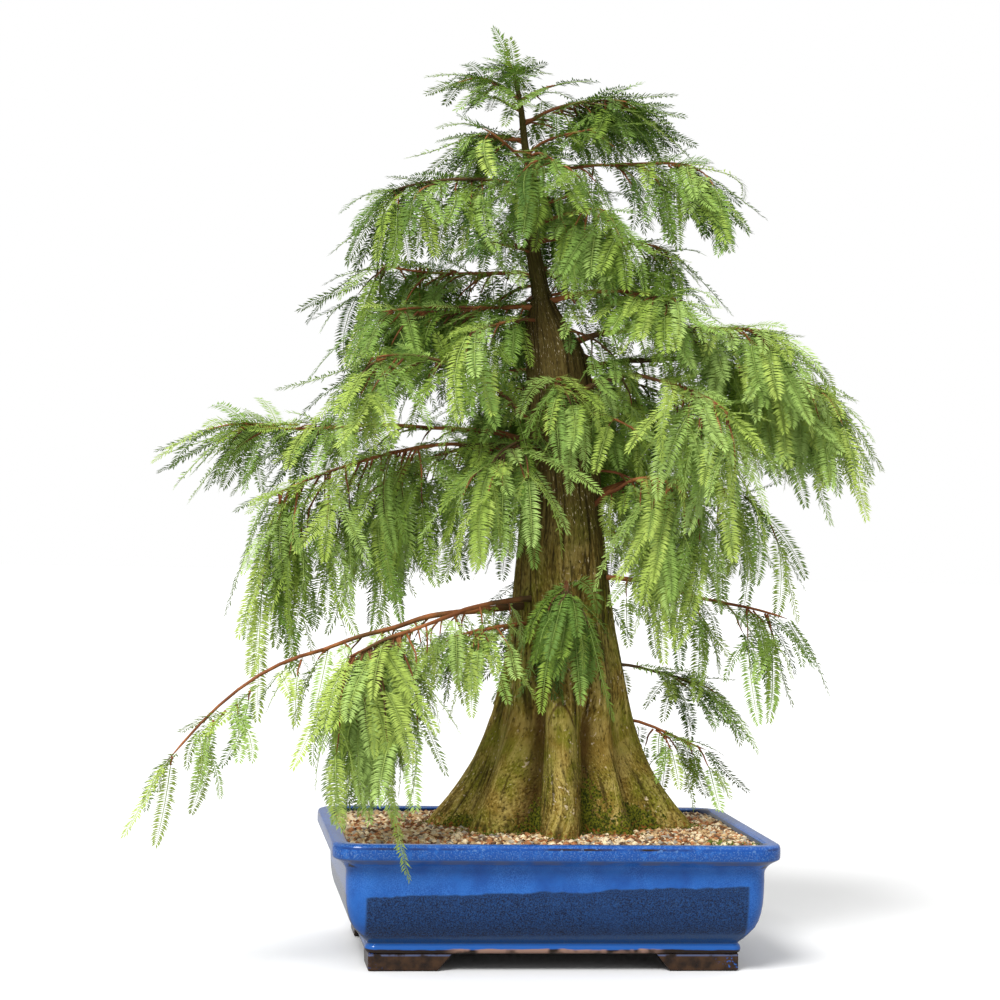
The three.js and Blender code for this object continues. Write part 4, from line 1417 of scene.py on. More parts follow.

# %% [markdown]
# ## The trunk's bark
# Old cypress bark is a skin of fibrous strips, with long thin cracks between them that follow the
# buttresses down and outward. The cracks are real relief: every ring of the trunk's skin is pushed in
# by a noise that is stretched upwards. Two grooves set off the rounded column at the front, and a brow
# hangs over its top; both are carved in, and painted dark as shade. The mesh keeps how deep the cracks
# are, how far a place lies in a groove or the brow for that painted shade, where moss grows, and the
# way that the strips run, so that colours and grain follow them.

# %% Bark relief
trunk_sides = 320
trunk_levels = 300
flow_radius, flow_radius_low = 45.0, 110.0
flow_low, flow_high = 50, 130
crack_sizes = ((13.0, 0.55), (5.2, 0.45))
crack_stretch, crack_apart = 0.075, 9
crack_sharpness = 4.2
strip_wander, strip_wander_length = 7.0, 75.0
swell_size, swell_share, swell_stretch = 42.0, 0.9, 0.4
# Where moss grows on the bark: heading, half a width and how high it reaches
moss_beds = [(291, 14, 100), (237, 10, 62), (322, 14, 55), (338, 11, 42), (90, 34, 60), (190, 12, 26)]
# The grooves beside the column: heading, half a width, depth, and from where to where they fade
grooves = [(234, 8, 9, 150, 245), (292, 8, 7.5, 105, 160)]
deepest_groove = max(groove[2] for groove in grooves)
# The brow over the column, carved in and painted dark as shade: half its width, how far its ends droop,
# its rise, thickness and depth
brow_spread, brow_droop, brow_rise, brow_thickness, brow_deep = 12, 24, 138, 3, 1.5

# How far up and down the rings are evened out, and over how many places
evened_reach, evened_places = 14, 9


def strip_heading(heading, rise):
    """The heading that a strip of bark had at the foot: strips wander a little as they rise."""
    turn = math.radians(heading)
    at = Vector((math.cos(turn), math.sin(turn), rise / strip_wander_length))
    return turn + math.radians(strip_wander) * noise.noise(at)


def cracks_at(radius, turn, rise):
    """How deep the bark lies, from 0 on a strip's face to 1 in a crack, for strips this wide."""
    depth = 0
    for number, (size, share) in enumerate(crack_sizes):
        across, aside = radius * math.cos(turn) / size, radius * math.sin(turn) / size
        at = Vector((across, aside, rise * crack_stretch / size + crack_apart * number))
        depth += share * max(0.0, 1 - crack_sharpness * abs(noise.noise(at)))
    return depth


def bark_depth(heading, rise):
    """The cracks at a place on the bark. Strips are split finer where the buttresses spread."""
    turn = strip_heading(heading, rise)
    up = soft_step(rise, flow_low, flow_high)
    depth = up * cracks_at(flow_radius, turn, rise) if up > 0 else 0
    return depth + (1 - up) * cracks_at(flow_radius_low, turn, rise) if up < 1 else depth


def swell_at(heading, rise):
    """Broad swells, which make the trunk's outline less even."""
    turn = math.radians(heading)
    across = flow_radius / swell_size
    at = Vector((across * math.cos(turn), across * math.sin(turn), swell_stretch * rise / swell_size))
    return swell_share * noise.noise(at)


def groove_depth(headings, rise):
    """How deep the grooves beside the front column are."""
    return sum(deep * nearness(headings, middle, spread) * (1 - soft_step(rise, low, high))
               for middle, spread, deep, low, high in grooves)


def moss_share(headings, rise):
    """How thick the moss is, from its beds, whose upper edges are soft."""
    return sum(nearness(headings, middle, spread) * (1 - soft_step(rise, 0.3 * top, top))
               for middle, spread, top in moss_beds)


def brow_share(headings, rise):
    """How far a place is in the brow, from 0 to 1."""
    aside = (headings - column_heading) / brow_spread
    line = brow_rise - brow_droop * aside ** 2
    return np.where(np.abs(aside) < 1, np.exp(-((rise - line) / brow_thickness) ** 2), 0)


def trunk_rings(rises, sides, amount):
    """Rings of the trunk's skin with the bark's relief, and what the mesh keeps of it."""
    headings = np.arange(sides) * 360 / sides
    nearby = np.linspace(-evened_reach, evened_reach, evened_places)
    smooth_rises = np.clip(rises[:, None] + nearby, 0, leader_tip)
    middles = trunk_middle(trunk_foot + smooth_rises).mean(axis=1)
    ways = np.stack([np.cos(np.radians(headings)), np.sin(np.radians(headings))], -1)
    rings, kept = [], {"depth": [], "groove_and_brow_shade": [], "moss": [], "flow": []}
    for level, rise in enumerate(rises):
        radii = trunk_radius(trunk_foot + smooth_rises[level][:, None], headings).mean(axis=0)
        depth, swell, turns = np.array([
            (bark_depth(heading, rise), swell_at(heading, rise), strip_heading(heading, rise))
            for heading in headings]).T
        groove, brow = groove_depth(headings, rise), brow_share(headings, rise)
        radii = radii - amount[level] * (depth - swell) - groove - brow_deep * brow
        heights = np.full(sides, trunk_foot + rise)
        rings.append(np.column_stack([middles[level][:2] + ways * radii[:, None], heights]))
        kept["depth"].append(depth)
        # How far a place lies in a groove or the brow, for the painted shade there.
        kept["groove_and_brow_shade"].append(np.maximum(groove / deepest_groove, brow))
        kept["moss"].append(moss_share(headings, rise))
        kept["flow"].append(metres * np.column_stack([
            np.cos(turns) * flow_radius, np.sin(turns) * flow_radius, np.full(sides, rise)]))
    return np.array(rings), {name: np.array(values) for name, values in kept.items()}


# %% Trunk
# The relief's amount by rise
broad_relief = [(0, 1.7), (30, 2.0), (480, 2.4), (564, 1.2)]
broad_rises = np.linspace(0, chopped_height - 2, trunk_levels)
broad_amount = table(broad_relief, broad_rises)[..., 0]
broad_rings, broad_kept = trunk_rings(broad_rises, trunk_sides, broad_amount)
trunk_mesh = skin_over_rings("trunk_bark", broad_rings)

# %% Leader
leader_levels, leader_sides = 90, 24
leader_relief = [(540, 0.6), (600, 0.8), (800, 0.2)]
leader_root, leader_free = 540, 566
# The most that the leader may measure across, from its root inside the trunk to where it is free
leader_limits = (9.0, 11.0)
leader_heights = np.linspace(leader_root, leader_tip, leader_levels)
leader_amount = table(leader_relief, leader_heights)[..., 0]
leader_rings, leader_kept = trunk_rings(leader_heights, leader_sides, leader_amount)
root_share = np.clip((leader_heights - leader_root) / (leader_free - leader_root), 0, 1)
inner = trunk_middle(trunk_foot + leader_heights)
for level in range(leader_levels):
    limit = mix(*leader_limits, root_share[level])
    out = leader_rings[level][:, :2] - inner[level][:2]
    size = np.linalg.norm(out, axis=1, keepdims=True)
    leader_rings[level][:, :2] = inner[level][:2] + out * np.minimum(1, limit / size)
leader_mesh = skin_over_rings("leader", leader_rings)


# %% Join trunk and leader
def keep_on_mesh(mesh, kept):
    """Keeps numbers and directions on a mesh, point by point."""
    for name, values in kept.items():
        is_vector = values.ndim == 3
        layer = mesh.attributes.new(name, "FLOAT_VECTOR" if is_vector else "FLOAT", "POINT")
        layer.data.foreach_set("vector" if is_vector else "value", values.astype(np.float32).ravel())


keep_on_mesh(trunk_mesh, broad_kept)
keep_on_mesh(leader_mesh, leader_kept)
trunk_joined = bmesh.new()
trunk_joined.from_mesh(trunk_mesh)
trunk_joined.from_mesh(leader_mesh)
trunk_joined.to_mesh(trunk_mesh)
trunk_joined.free()


# %% Bark colours
bark_brown = (0.250, 0.165, 0.030)
bark_olive = (0.200, 0.192, 0.018)
bark_tan = (0.580, 0.455, 0.140)
bark_dark = (0.062, 0.042, 0.007)
bark_crack = (0.026, 0.017, 0.004)
# Darker bark, with painted shade under the crown, towards the top of the trunk.
bark_dark_and_shaded = (0.070, 0.050, 0.018)
# Painted shade in the grooves beside the column and under its brow.
groove_shade = (0.062, 0.026, 0.008)
bark_moss = (0.150, 0.155, 0.012)
bark_moss_deep = (0.026, 0.036, 0.004)
bark_debris = (0.260, 0.090, 0.020)
bark_fleck = (0.700, 0.570, 0.370)


def kept_on_mesh(tree, name, output="Fac"):
    return add_node(tree, "Attribute", attribute_name=name).outputs[output]


def grain_of(tree, flow, low, per_metre, stretch):
    """Noise along the strips, twice as fine low down, where each strip is wider."""
    upper = fibres(tree, flow, per_metre, stretch)
    lower = fibres(tree, flow, 2.1 * per_metre, stretch)
    return add_node(tree, "Mix", low, None, upper, lower).outputs[0]


# %% Bark material
# Heights in metres between which the grain turns fine, the bark turns darker, as darker bark and as
# painted shade under the crown, and damp and debris begin
fine_grain, dark_and_shaded_heights = (0.27, 0.18), (0.30, 0.52)
damp_foot, debris_foot = (0.160, 0.130), (0.143, 0.129)


def bark_of_trunk():
    """Olive-brown strips with tan and dark flakes, dark cracks, moss in the hollows low down, painted
    shade in the grooves and under the brow, and darker bark towards the top, partly painted shade.
    """
    material, tree, shader = new_material("trunk bark", 0.9, gloss=0.12)
    spot = object_place(tree)
    flow = kept_on_mesh(tree, "flow", "Vector")
    height = add_node(tree, "SeparateXYZ", spot).outputs[2]
    low = step_between(tree, height, *fine_grain)
    flakes = grain_of(tree, flow, low, 640, 0.26)
    strips = grain_of(tree, flow, low, 250, 0.05)
    dashes = step_between(tree, fibres(tree, flow, 640, 0.34), 0.63, 0.67)
    colour = layered(
        tree, bark_brown,
        (patches(tree, spot, 17, 0.4, 0.6), bark_olive),
        (share_of(tree, patches(tree, spot, 46, 0.42, 0.66), 0.0, 1.0, 0.35), bark_tan),
        (share_of(tree, strips, 0.52, 0.68, 0.5), bark_tan),
        (share_of(tree, strips, 0.46, 0.33, 0.75), bark_dark),
        (share_of(tree, flakes, 0.54, 0.70, 0.7), bark_tan),
        (share_of(tree, flakes, 0.48, 0.34, 0.85), bark_dark),
        # Darker towards the top: darker bark, and painted shade under the crown.
        (share_of(tree, height, *dark_and_shaded_heights, 0.75), bark_dark_and_shaded),
        (both(tree, dashes, patches(tree, spot, 24, 0.48, 0.56)), bark_fleck),
        # Painted shade in the grooves beside the column and under its brow.
        (share_of(tree, kept_on_mesh(tree, "groove_and_brow_shade"), 0.15, 0.9, 0.75), groove_shade),
        (share_of(tree, kept_on_mesh(tree, "depth"), 0.35, 0.85, 0.8), bark_crack))
    paint(tree, shader, moss_over(tree, colour, spot, height))
    add_bump(tree, shader, flakes, 0.0022)
    return material


def moss_over(tree, colour, spot, height):
    """Moss over the bark where it is damp, in tufts of two greens, with brown debris near the grit."""
    damp = math_node(tree, "ADD", kept_on_mesh(tree, "moss"), share_of(tree, height, *damp_foot, 0.25))
    for per_metre, amount in ((110, 1.2), (380, 2.2)):
        damp = math_node(tree, "ADD", damp, swing(tree, noise_node(tree, spot, per_metre), amount))
    tufts = colour_mix(tree, patches(tree, spot, 430, 0.40, 0.6), bark_moss_deep, bark_moss)
    debris = both(tree, step_between(tree, height, *debris_foot), patches(tree, spot, 260, 0.57, 0.63))
    return layered(tree, colour, (step_between(tree, damp, 0.58, 0.80), tufts), (debris, bark_debris))


# %% Put the bark on
trunk_piece = piece_from_mesh("trunk_bark", trunk_mesh, bark_of_trunk())
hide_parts("trunk")
print("trunk faces", len(trunk_mesh.polygons))

# %% [markdown]
# ## The pot
# A thrown and pressed stoneware pot: a rectangle with round corners, a rolled lip over a cove, a
# belly that draws in to a beaded foot band, and four bracket feet. Its skin is extruded over rounded
# rectangles, from the foot up the outside, over the rim and down the inside.

# %% Pot outline
pot_corner_radius, pot_least_corner_radius, pot_corner_tightening = 32, 8, 0.6
corner_steps, edge_steps = 12, 6
# Height and inset from the rim's edge
pot_outside = [
    (17.5, 41), (18, 38), (19.5, 36.6), (22.5, 35.8), (25.5, 36.6), (27, 38), (28, 38.6), (29.5, 37.4),
    (33, 33.2), (38, 28.4), (45, 22.6), (52, 19.2), (60, 17), (70, 15.4), (82, 14.8), (94, 14.6),
    (101, 14.7), (104, 14.2), (107, 12.6), (110, 10.2), (113, 6.4), (115, 2.6), (116.2, 0.9), (118, 0.1),
    (123, 0), (127.5, 0.1), (129.8, 0.8), (131.2, 2), (131.9, 4), (132, 8),
]
pot_inside = [
    (131.9, 12), (131.3, 14.4), (130, 16.2), (127, 17.8), (120, 21.5), (104, 29), (60, 31), (42, 38),
    (32, 58),
]


def pot_ring(height, inset):
    """One level of the pot: a rectangle with round corners, inset from the rim's edge."""
    half = np.array([pot_width, pot_depth]) / 2 - inset
    radius = max(pot_least_corner_radius, pot_corner_radius - inset * pot_corner_tightening)
    ring = []
    for corner, (right, back) in enumerate([(1, 1), (-1, 1), (-1, -1), (1, -1)]):
        centre = pot_middle + (half - radius) * (right, back)
        for step in range(corner_steps + 1):
            turn = math.radians(90 * (corner + step / corner_steps))
            ring.append((*centre + radius * np.array([math.cos(turn), math.sin(turn)]), height))
    filled = []
    for k, point in enumerate(ring):
        filled.append(point)
        if k % (corner_steps + 1) == corner_steps:
            following = ring[(k + 1) % len(ring)]
            for step in range(1, edge_steps):
                filled.append(tuple(mix(np.array(point), np.array(following), step / edge_steps)))
    return filled


pot_rings = np.array([pot_ring(height, inset) for height, inset in pot_outside + pot_inside])
pot_mesh = skin_over_rings("pot_body", pot_rings)

# %% Pot feet
foot_height, foot_inset, foot_arm_thickness = 18, 39, 24
foot_top_arm, foot_bottom_arm, foot_side_shortening = 86, 71, 18
foot_edge, foot_edge_segments = 1.6, 3


def foot_outline(right, back, arm):
    """The L that a foot fills at one level."""
    outer = np.array([pot_width, pot_depth]) / 2 - foot_inset
    inner = outer - foot_arm_thickness
    side = arm - foot_side_shortening
    corners = [
        outer, (outer[0] - arm, outer[1]), (outer[0] - arm, inner[1]), inner,
        (inner[0], outer[1] - side), (outer[0], outer[1] - side),
    ]
    return [pot_middle + np.array(corner) * (right, back) for corner in corners]


def foot_bmesh(bm, right, back):
    """One bracket foot: an L drawn at its top, extruded down to a shorter L."""
    top = [bm.verts.new((*corner * metres, foot_height * metres))
           for corner in foot_outline(right, back, foot_top_arm)]
    face = bm.faces.new(top)
    bottom = foot_outline(right, back, foot_bottom_arm)
    for corner in bmesh.ops.extrude_face_region(bm, geom=[face])["geom"]:
        if isinstance(corner, bmesh.types.BMVert):
            above = min(range(len(top)), key=lambda k: (top[k].co - corner.co).length)
            corner.co = (*bottom[above] * metres, 0)


feet = bmesh.new()
for right in (1, -1):
    for back in (1, -1):
        foot_bmesh(feet, right, back)
bmesh.ops.recalc_face_normals(feet, faces=feet.faces)
bmesh.ops.bevel(feet, geom=list(feet.edges), offset=foot_edge * metres,
                segments=foot_edge_segments, profile=0.5, affect="EDGES", material=-1)
feet_mesh = finished(feet, "pot_feet")


# %% [markdown]
# ## The glaze
# A cobalt glaze. It is bright and finely mottled above. On each side a dark, speckled panel, with a
# greyer strip under it, is a painted reflection of the dark floor; the corners stay bright. It breaks
# brown along the lip's edge, with painted highlights along the lip and a painted grey reflection in
# the cove under it, and leaves the foot band's lower half brown, bare in places. The underside is
# painted near black as shade.

# %% Glaze
glaze_bright = (0.016, 0.128, 0.490)
glaze_light = (0.042, 0.190, 0.600)
glaze_deep = (0.008, 0.076, 0.350)
# The next three colours are a painted reflection of the dark floor on the pot's sides.
reflection_dark = (0.012, 0.066, 0.225)
reflection_black = (0.001, 0.007, 0.034)
reflection_grey = (0.034, 0.086, 0.200)
# Grey: a painted reflection in the cove under the lip; the feet's paler upper edges use it too.
glaze_grey = (0.100, 0.130, 0.250)
# Painted highlights on the lip.
glaze_highlight = (0.090, 0.200, 0.470)
glaze_brown = (0.024, 0.012, 0.006)
glaze_inside = (0.010, 0.020, 0.060)
# Painted shade for the pot's underside, between the feet.
underside_shade = (0.004, 0.003, 0.003)
bare_clay = (0.400, 0.235, 0.175)
foot_dark, foot_brown = (0.014, 0.007, 0.004), (0.072, 0.034, 0.014)

# The rest of these are in metres, from the pot's middle and its underside.
# The panel of painted reflection: its edges' heights, how soft they are, how they fall to the right, and
# how they waver
panel_low, panel_high = (0.035, 0.039), (0.0847, 0.0823)
panel_low_slope, panel_slope = 0.013, 0.027
panel_wave, panel_ripple, panel_low_ripple, foot_ripple = 0.011, 0.004, 0.003, 0.004
# How far out to the side and to the back a corner or the rim's top lies, and how soft that is
panel_corner, corner_soft = (0.194, 0.136), (0.002, 0.002)
rim_top, rim_soft = (0.213, 0.154), (0.0006, 0.0006)
foot_end, foot_end_soft = (0.172, 0.100), (0.012, 0.006)
# Bands round the pot: from, to, and how soft their edges are
cove_band, edge_band = (0.1115, 0.1165, 0.001), (0.1270, 0.1292, 0.0006)
# The first band here is where painted highlights lie along the lip's top edge.
highlight_band, foot_top_band = (0.1258, 0.1290, 0.0004), (0.0150, 0.0166, 0.0006)
# Heights between which a finish, or the underside's painted shade, sets in, up or down the pot
lip_face, pot_inside_top = (0.1165, 0.1185), (0.107, 0.108)
bead_top, brown_top = (0.0285, 0.0270), (0.0226, 0.0214)
bare_top, underside_top = (0.0232, 0.0222), (0.0182, 0.0178)
bare_front, bare_middle = (-0.120, -0.126), (0.105, 0.012)
wall_wave, wall_wave_height = 55, 0.0004


# %% Helpers for places on the pot
def band(tree, value, low, high, soft):
    """1 between two heights and 0 beyond them, with soft edges."""
    rising = step_between(tree, value, low - soft, low + soft)
    falling = step_between(tree, value, high + soft, high - soft)
    return both(tree, rising, falling)


def place_on_pot(tree):
    """A place on the pot measured from its middle: the place, and its x, y and height."""
    middle = (*pot_middle * metres, 0)
    moved = add_node(tree, "VectorMath", object_place(tree), middle, operation="SUBTRACT")
    return moved.outputs[0], *add_node(tree, "SeparateXYZ", moved.outputs[0]).outputs


def beyond(tree, value, limit, soft):
    """1 where a value is further from 0 than a limit, either way."""
    return step_between(tree, math_node(tree, "ABSOLUTE", value), limit - soft, limit + soft)


def beyond_each(tree, across, back, limits, softs):
    """Whether a place is further out than a limit to the side, and than another to the back."""
    return [beyond(tree, *each) for each in zip((across, back), limits, softs)]


def sloped(tree, height, across, slope, wave, amount):
    """A height that falls with the way across and wavers, so that a level band in it does not."""
    tilted = math_node(tree, "SUBTRACT", height, both(tree, across, slope))
    return math_node(tree, "ADD", tilted, swing(tree, wave, amount))


# %% The panel, the lip and the foot band
def reflection_mask(tree, spot, across, back, height):
    """The painted dark reflection of the floor on each side, which leaves the corners out."""
    wave = noise_node(tree, spot, 16, detail=2.0)
    ripple = noise_node(tree, spot, 90, detail=1.0)
    wavering = sloped(tree, height, across, panel_slope, wave, panel_wave)
    wavering = math_node(tree, "ADD", wavering, swing(tree, ripple, panel_ripple))
    under = step_between(tree, wavering, *panel_high)
    low_edge = sloped(tree, height, across, panel_low_slope, ripple, panel_low_ripple)
    over = step_between(tree, low_edge, *panel_low)
    side = without(tree, both(tree, *beyond_each(tree, across, back, panel_corner, corner_soft)))
    return both(tree, both(tree, under, over), side), both(tree, under, side)


def lip_over(tree, colour, spot, across, back, height):
    """The lip: dark specks and painted highlight streaks on its face, a broken brown line with painted
    highlights at its edge, and a painted grey reflection in the cove.
    """
    face = step_between(tree, height, *lip_face)
    cove = band(tree, height, *cove_band)
    edge = both(tree, band(tree, height, *edge_band), patches(tree, spot, 60, 0.22, 0.52))
    edge_colour = colour_mix(tree, patches(tree, spot, 13, 0.45, 0.62), glaze_deep, glaze_brown)
    # Painted highlights, broken, along the lip's top edge.
    highlights = both(tree, band(tree, height, *highlight_band), patches(tree, spot, 170, 0.59, 0.66))
    outer = math_node(tree, "MAXIMUM", *beyond_each(tree, across, back, rim_top, rim_soft))
    inner = both(tree, without(tree, outer), step_between(tree, height, *pot_inside_top))
    return layered(
        tree, colour,
        (both(tree, face, patches(tree, spot, 200, 0.36, 0.56)), glaze_deep),
        # Painted highlight streaks on the lip's face.
        (both(tree, face, patches(tree, spot, 700, 0.50, 0.66)), glaze_highlight),
        # A painted grey reflection in the cove.
        (both(tree, cove, patches(tree, spot, 35, 0.25, 0.6)), glaze_grey),
        (edge, edge_colour), (highlights, glaze_highlight), (inner, glaze_inside))


def foot_band_over(tree, colour, spot, across, back, height):
    """The foot band: blue above, brown below, bare clay near the middle of the front, and the underside
    painted near black as shade.
    """
    wavering = math_node(tree, "ADD", height, swing(tree, noise_node(tree, spot, 40), foot_ripple))
    front = step_between(tree, back, *bare_front)
    middle = without(tree, beyond(tree, across, *bare_middle))
    low = both(tree, patches(tree, spot, 32, 0.40, 0.50), step_between(tree, wavering, *bare_top))
    return layered(
        tree, colour,
        (step_between(tree, height, *bead_top), glaze_bright),
        (step_between(tree, wavering, *brown_top), glaze_brown),
        (both(tree, both(tree, front, middle), low), bare_clay),
        # The underside, painted near black as shade.
        (step_between(tree, height, *underside_top), underside_shade))


# %% Glaze materials
def pot_glaze():
    """The pot's glaze, which changes with the height on the pot, with painted reflections, highlights
    and shade.
    """
    material, tree, shader = new_material("cobalt glaze", 0.14, gloss=0.36)
    spot, across, back, height = place_on_pot(tree)
    fine = patches(tree, spot, 900, 0.38, 0.64)
    # Each side's panel and the strip under it are a painted reflection of the dark floor.
    dark, side = reflection_mask(tree, spot, across, back, height)
    speckle = layered(
        tree, reflection_black,
        (patches(tree, spot, 760, 0.34, 0.70), reflection_dark),
        (patches(tree, spot, 1000, 0.58, 0.68), reflection_grey),
        (share_of(tree, noise_node(tree, spot, 14), 0.5, 0.7, 0.3), reflection_dark))
    colour = layered(
        tree, glaze_deep,
        (patches(tree, spot, 45, 0.3, 0.72), glaze_bright),
        (both(tree, fine, patches(tree, spot, 30, 0.2, 0.8)), glaze_light),
        (side, colour_mix(tree, fine, reflection_grey, reflection_dark)),
        (dark, speckle))
    colour = lip_over(tree, colour, spot, across, back, height)
    paint(tree, shader, foot_band_over(tree, colour, spot, across, back, height))
    add_bump(tree, shader, noise_node(tree, spot, wall_wave, detail=2.0), wall_wave_height, 0.5)
    return material


def foot_glaze():
    """The feet: streaky brown, with a paler upper edge and blue flecks at their outer ends."""
    material, tree, shader = new_material("foot glaze", 0.22, gloss=0.35)
    spot, across, back, height = place_on_pot(tree)
    outer = both(tree, *beyond_each(tree, across, back, foot_end, foot_end_soft))
    flecks = both(tree, outer, patches(tree, spot, 380, 0.54, 0.64))
    edge = both(tree, band(tree, height, *foot_top_band), patches(tree, spot, 90, 0.4, 0.55))
    paint(tree, shader, layered(
        tree, foot_dark,
        (step_between(tree, fibres(tree, spot, 90, 1.0), 0.3, 0.72), foot_brown),
        (both(tree, flecks, patches(tree, spot, 60, 0.50, 0.60)), glaze_bright),
        (edge, glaze_grey)))
    add_bump(tree, shader, noise_node(tree, spot, 120, detail=2.0), 0.0005, 0.5)
    return material


# %% Put the glaze on
pot_piece = piece_from_mesh("pot_body", pot_mesh, pot_glaze())
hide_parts("pot")
feet_piece = piece_from_mesh("pot_feet", feet_mesh, foot_glaze(), smooth=False)
print("pot faces", len(pot_mesh.polygons), "foot faces", len(feet_mesh.polygons))

# %% [markdown]
# ## Soil and grit
# The pot is topped with crushed grit, four to nine millimetres across, in cream, tan, orange, brown
# and grey. Each stone is an icosahedron with its corners pushed about, half sunk in the dark soil.

# %% Soil
soil_paint, soil_tree, soil_shader = new_material("damp soil", 0.95)
soil_place = object_place(soil_tree)
soil_tone = patches(soil_tree, soil_place, 240, 0.4, 0.6)
soil_dark, soil_brown = (0.030, 0.018, 0.010), (0.11, 0.065, 0.035)
paint(soil_tree, soil_shader, colour_mix(soil_tree, soil_tone, soil_dark, soil_brown))
add_bump(soil_tree, soil_shader, noise_node(soil_tree, soil_place, 300), 0.001)
soil_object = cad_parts["soil"]
soil_object.data.materials.clear()
soil_object.data.materials.append(soil_paint)

# %% Stones
stone_count = 5000
stone_sizes, stone_lifts = (2.0, 4.5), (-0.8, 1.9)
# How far a stone's corners are pushed, and how it is squeezed in length, width and height
stone_pushes, stone_squeezes = (0.72, 1.25), ((0.8, 0.7, 0.6), (1.25, 1.0, 0.9))
soil_inset = 19
soil_edge_height, soil_height, soil_crown_inset = 124.5, 127.0, 48
stone_tints = {
    "grit_cream": (0.96, 0.78, 0.50),
    "grit_tan": (0.66, 0.44, 0.21),
    "grit_orange": (0.50, 0.20, 0.07),
    "grit_brown": (0.17, 0.085, 0.034),
    "grit_grey": (0.46, 0.40, 0.31),
}
stone_shares = (0.30, 0.26, 0.16, 0.16, 0.12)


def unit_stone():
    """The corners and triangles of an icosahedron, from Blender's own ball."""
    bm = bmesh.new()
    bmesh.ops.create_icosphere(bm, subdivisions=1, radius=1)
    points = np.array([corner.co for corner in bm.verts])
    triangles = np.array([[corner.index for corner in face.verts] for face in bm.faces])
    bm.free()
    return points, triangles


def off_trunk(spots):
    """How far places on the soil lie from the trunk's foot, in millimetres."""
    away = spots - trunk_axis
    headings = np.degrees(np.arctan2(away[:, 1], away[:, 0]))
    return np.linalg.norm(away, axis=1) - trunk_radius(trunk_foot + 3, headings)


def scatter(count, reach, rng, low=-2.0, fade=None):
    """Places on the soil, kept off the trunk, and nearer to it than a fade where one is given."""
    half = np.array(reach)
    places = np.zeros((0, 2))
    while len(places) < count:
        spots = pot_middle + rng.uniform(-1, 1, (count, 2)) * half
        away = off_trunk(spots)
        kept = away > low
        if fade is not None:
            kept &= rng.uniform(0, 1, count) < np.exp(-np.maximum(away, 0) / fade)
        places = np.vstack([places, spots[kept]])
    return places[:count]


def soil_surface(spots):
    """The height of the soil: level at the wall, with a flat crown."""
    edge_room = (np.array([pot_width, pot_depth]) / 2 - np.abs(spots - pot_middle)).min(axis=1)
    return np.interp(edge_room, [soil_inset, soil_crown_inset], [soil_edge_height, soil_height])


# %% Strew the stones
stone_points, stone_triangles = unit_stone()
stone_rng = np.random.default_rng(23)
soil_reach = np.array([pot_width, pot_depth]) / 2 - soil_inset
stone_places = scatter(stone_count, soil_reach, stone_rng)
stone_radii = stone_rng.uniform(*stone_sizes, stone_count)
stone_heights = soil_surface(stone_places) + stone_rng.uniform(*stone_lifts, stone_count)
stone_kinds = stone_rng.choice(len(stone_tints), stone_count, p=stone_shares)
shapes = stone_points[None] * stone_rng.uniform(*stone_pushes, (stone_count, len(stone_points), 1))
shapes *= stone_rng.uniform(*stone_squeezes, (stone_count, 3))[:, None]
angles = stone_rng.uniform(0, 2 * np.pi, stone_count)
turns = np.stack([np.cos(angles), -np.sin(angles), np.sin(angles), np.cos(angles)], -1).reshape(-1, 2, 2)
shapes[..., :2] = np.einsum("sij,spj->spi", turns, shapes[..., :2])
shapes *= stone_radii[:, None, None]
stones = shapes + np.column_stack([stone_places, stone_heights])[:, None]


def stone_material(name, colour):
    """A gritty mineral with a little wander in its tone."""
    material, tree, shader = tinted(name, colour, 0.8, plain_gloss, darker=0.62, per_metre=130)
    add_bump(tree, shader, noise_node(tree, object_place(tree), 900), 0.0004)
    return material


for kind, (name, colour) in enumerate(stone_tints.items()):
    chosen = stones[stone_kinds == kind]
    mesh = mesh_from_arrays(name, *copies(chosen, stone_triangles))
    stone_piece = piece_from_mesh(name, mesh, stone_material(name, colour), smooth=False)
    print(name, len(chosen), "stones")

# %% [markdown]
# ## Litter, moss and sprouts
# Dead needles lie on the grit, most of them near the trunk. Moss grows in cushions against the
# trunk's foot, and a few sprouts stand near the right front corner. All are blades of two triangles.

# %% Litter, moss and sprouts
litter_count, litter_length, litter_lift = 2600, (3.0, 8.0), (1.2, 3.0)
litter_fade, litter_flatness = 55.0, (1, 1, 0.18)
moss_count, moss_length, moss_lift, moss_fade = 5200, (1.6, 3.6), (0, 2.5), 9.0
moss_cushion, moss_bare_under = 17, -0.02
sprout_count, sprout_blades, sprout_length = 34, 7, (3.0, 6.5)
sprout_middle, sprout_spread = (172, -118), (34, 16)
litter_width, moss_width, sprout_width = 1.7, 1.1, 1.5
litter_brown, moss_green, sprout_green = (0.33, 0.115, 0.035), (0.115, 0.165, 0.020), (0.19, 0.26, 0.05)
blade_rng = np.random.default_rng(71)


def blades(roots, ways, lengths, width):
    """The four corners of a narrow kite for each root, way and length."""
    across = unit(np.cross(ways, blade_rng.normal(0, 1, ways.shape)))
    belly = roots + ways * lengths[:, None] * 0.5
    broad = across * width / 2
    return np.stack([roots, belly - broad, belly + broad, roots + ways * lengths[:, None]], 1)


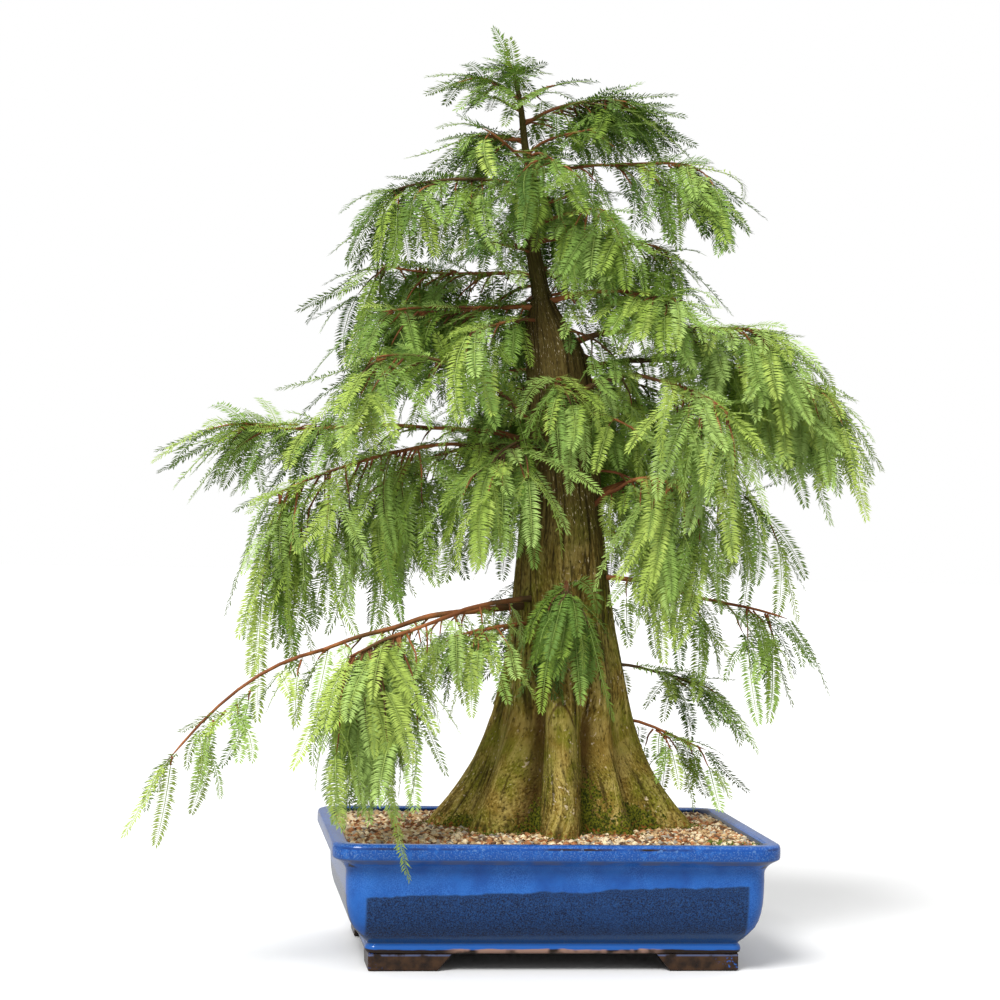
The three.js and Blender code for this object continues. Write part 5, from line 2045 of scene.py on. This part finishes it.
def blade_piece(name, colour, corners):
    """Blades joined into one piece of one colour."""
    mesh = mesh_from_arrays(name, *copies(corners, kite))
    piece_from_mesh(name, mesh, tint_material(name, colour), smooth=False)


def ways_up(count, least_rise):
    """Ways that point up, each at least this steep."""
    level = blade_rng.normal(0, 1, (count, 2))
    return unit(np.column_stack([level, least_rise + np.abs(blade_rng.normal(0, 1, count))]))


def rooted(spots, lift):
    """Roots on the soil at these places, lifted by this much, a number for each or one for all."""
    return np.column_stack([spots, soil_surface(spots) + lift])


# %% Strew the blades
litter = scatter(litter_count, soil_reach, blade_rng, low=-1.0, fade=litter_fade)
litter_roots = rooted(litter, blade_rng.uniform(*litter_lift, litter_count))
litter_ways = unit(blade_rng.normal(0, 1, (litter_count, 3)) * litter_flatness)
litter_lengths = blade_rng.uniform(*litter_length, litter_count)
litter_blades = blades(litter_roots, litter_ways, litter_lengths, litter_width)
blade_piece("litter", litter_brown, litter_blades)

moss = scatter(moss_count, soil_reach, blade_rng, low=-3.0, fade=moss_fade)
cushions = np.array([noise.noise(Vector((*spot / moss_cushion, 0.0))) for spot in moss])
moss = moss[cushions > moss_bare_under]
moss_roots = rooted(moss, blade_rng.uniform(*moss_lift, len(moss)))
moss_lengths = blade_rng.uniform(*moss_length, len(moss))
moss_blades = blades(moss_roots, ways_up(len(moss), 0.8), moss_lengths, moss_width)
blade_piece("moss", moss_green, moss_blades)

sprout_spots = pot_middle + sprout_middle + blade_rng.normal(0, 0.5, (sprout_count, 2)) * sprout_spread
sprout_roots = rooted(np.repeat(sprout_spots, sprout_blades, axis=0), 0)
sprout_lengths = blade_rng.uniform(*sprout_length, len(sprout_roots))
sprout_corners = blades(sprout_roots, ways_up(len(sprout_roots), 1.0), sprout_lengths, sprout_width)
blade_piece("sprouts", sprout_green, sprout_corners)
print("litter", litter_count, "moss", len(moss), "sprouts", sprout_count)

# %% [markdown]
# ## Finish
# The faces of all the pieces that are shown are counted.

# %% Count the faces and finish
total = sum(len(piece.data.loop_triangles) or len(piece.data.polygons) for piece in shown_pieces())
print("faces in all", total)
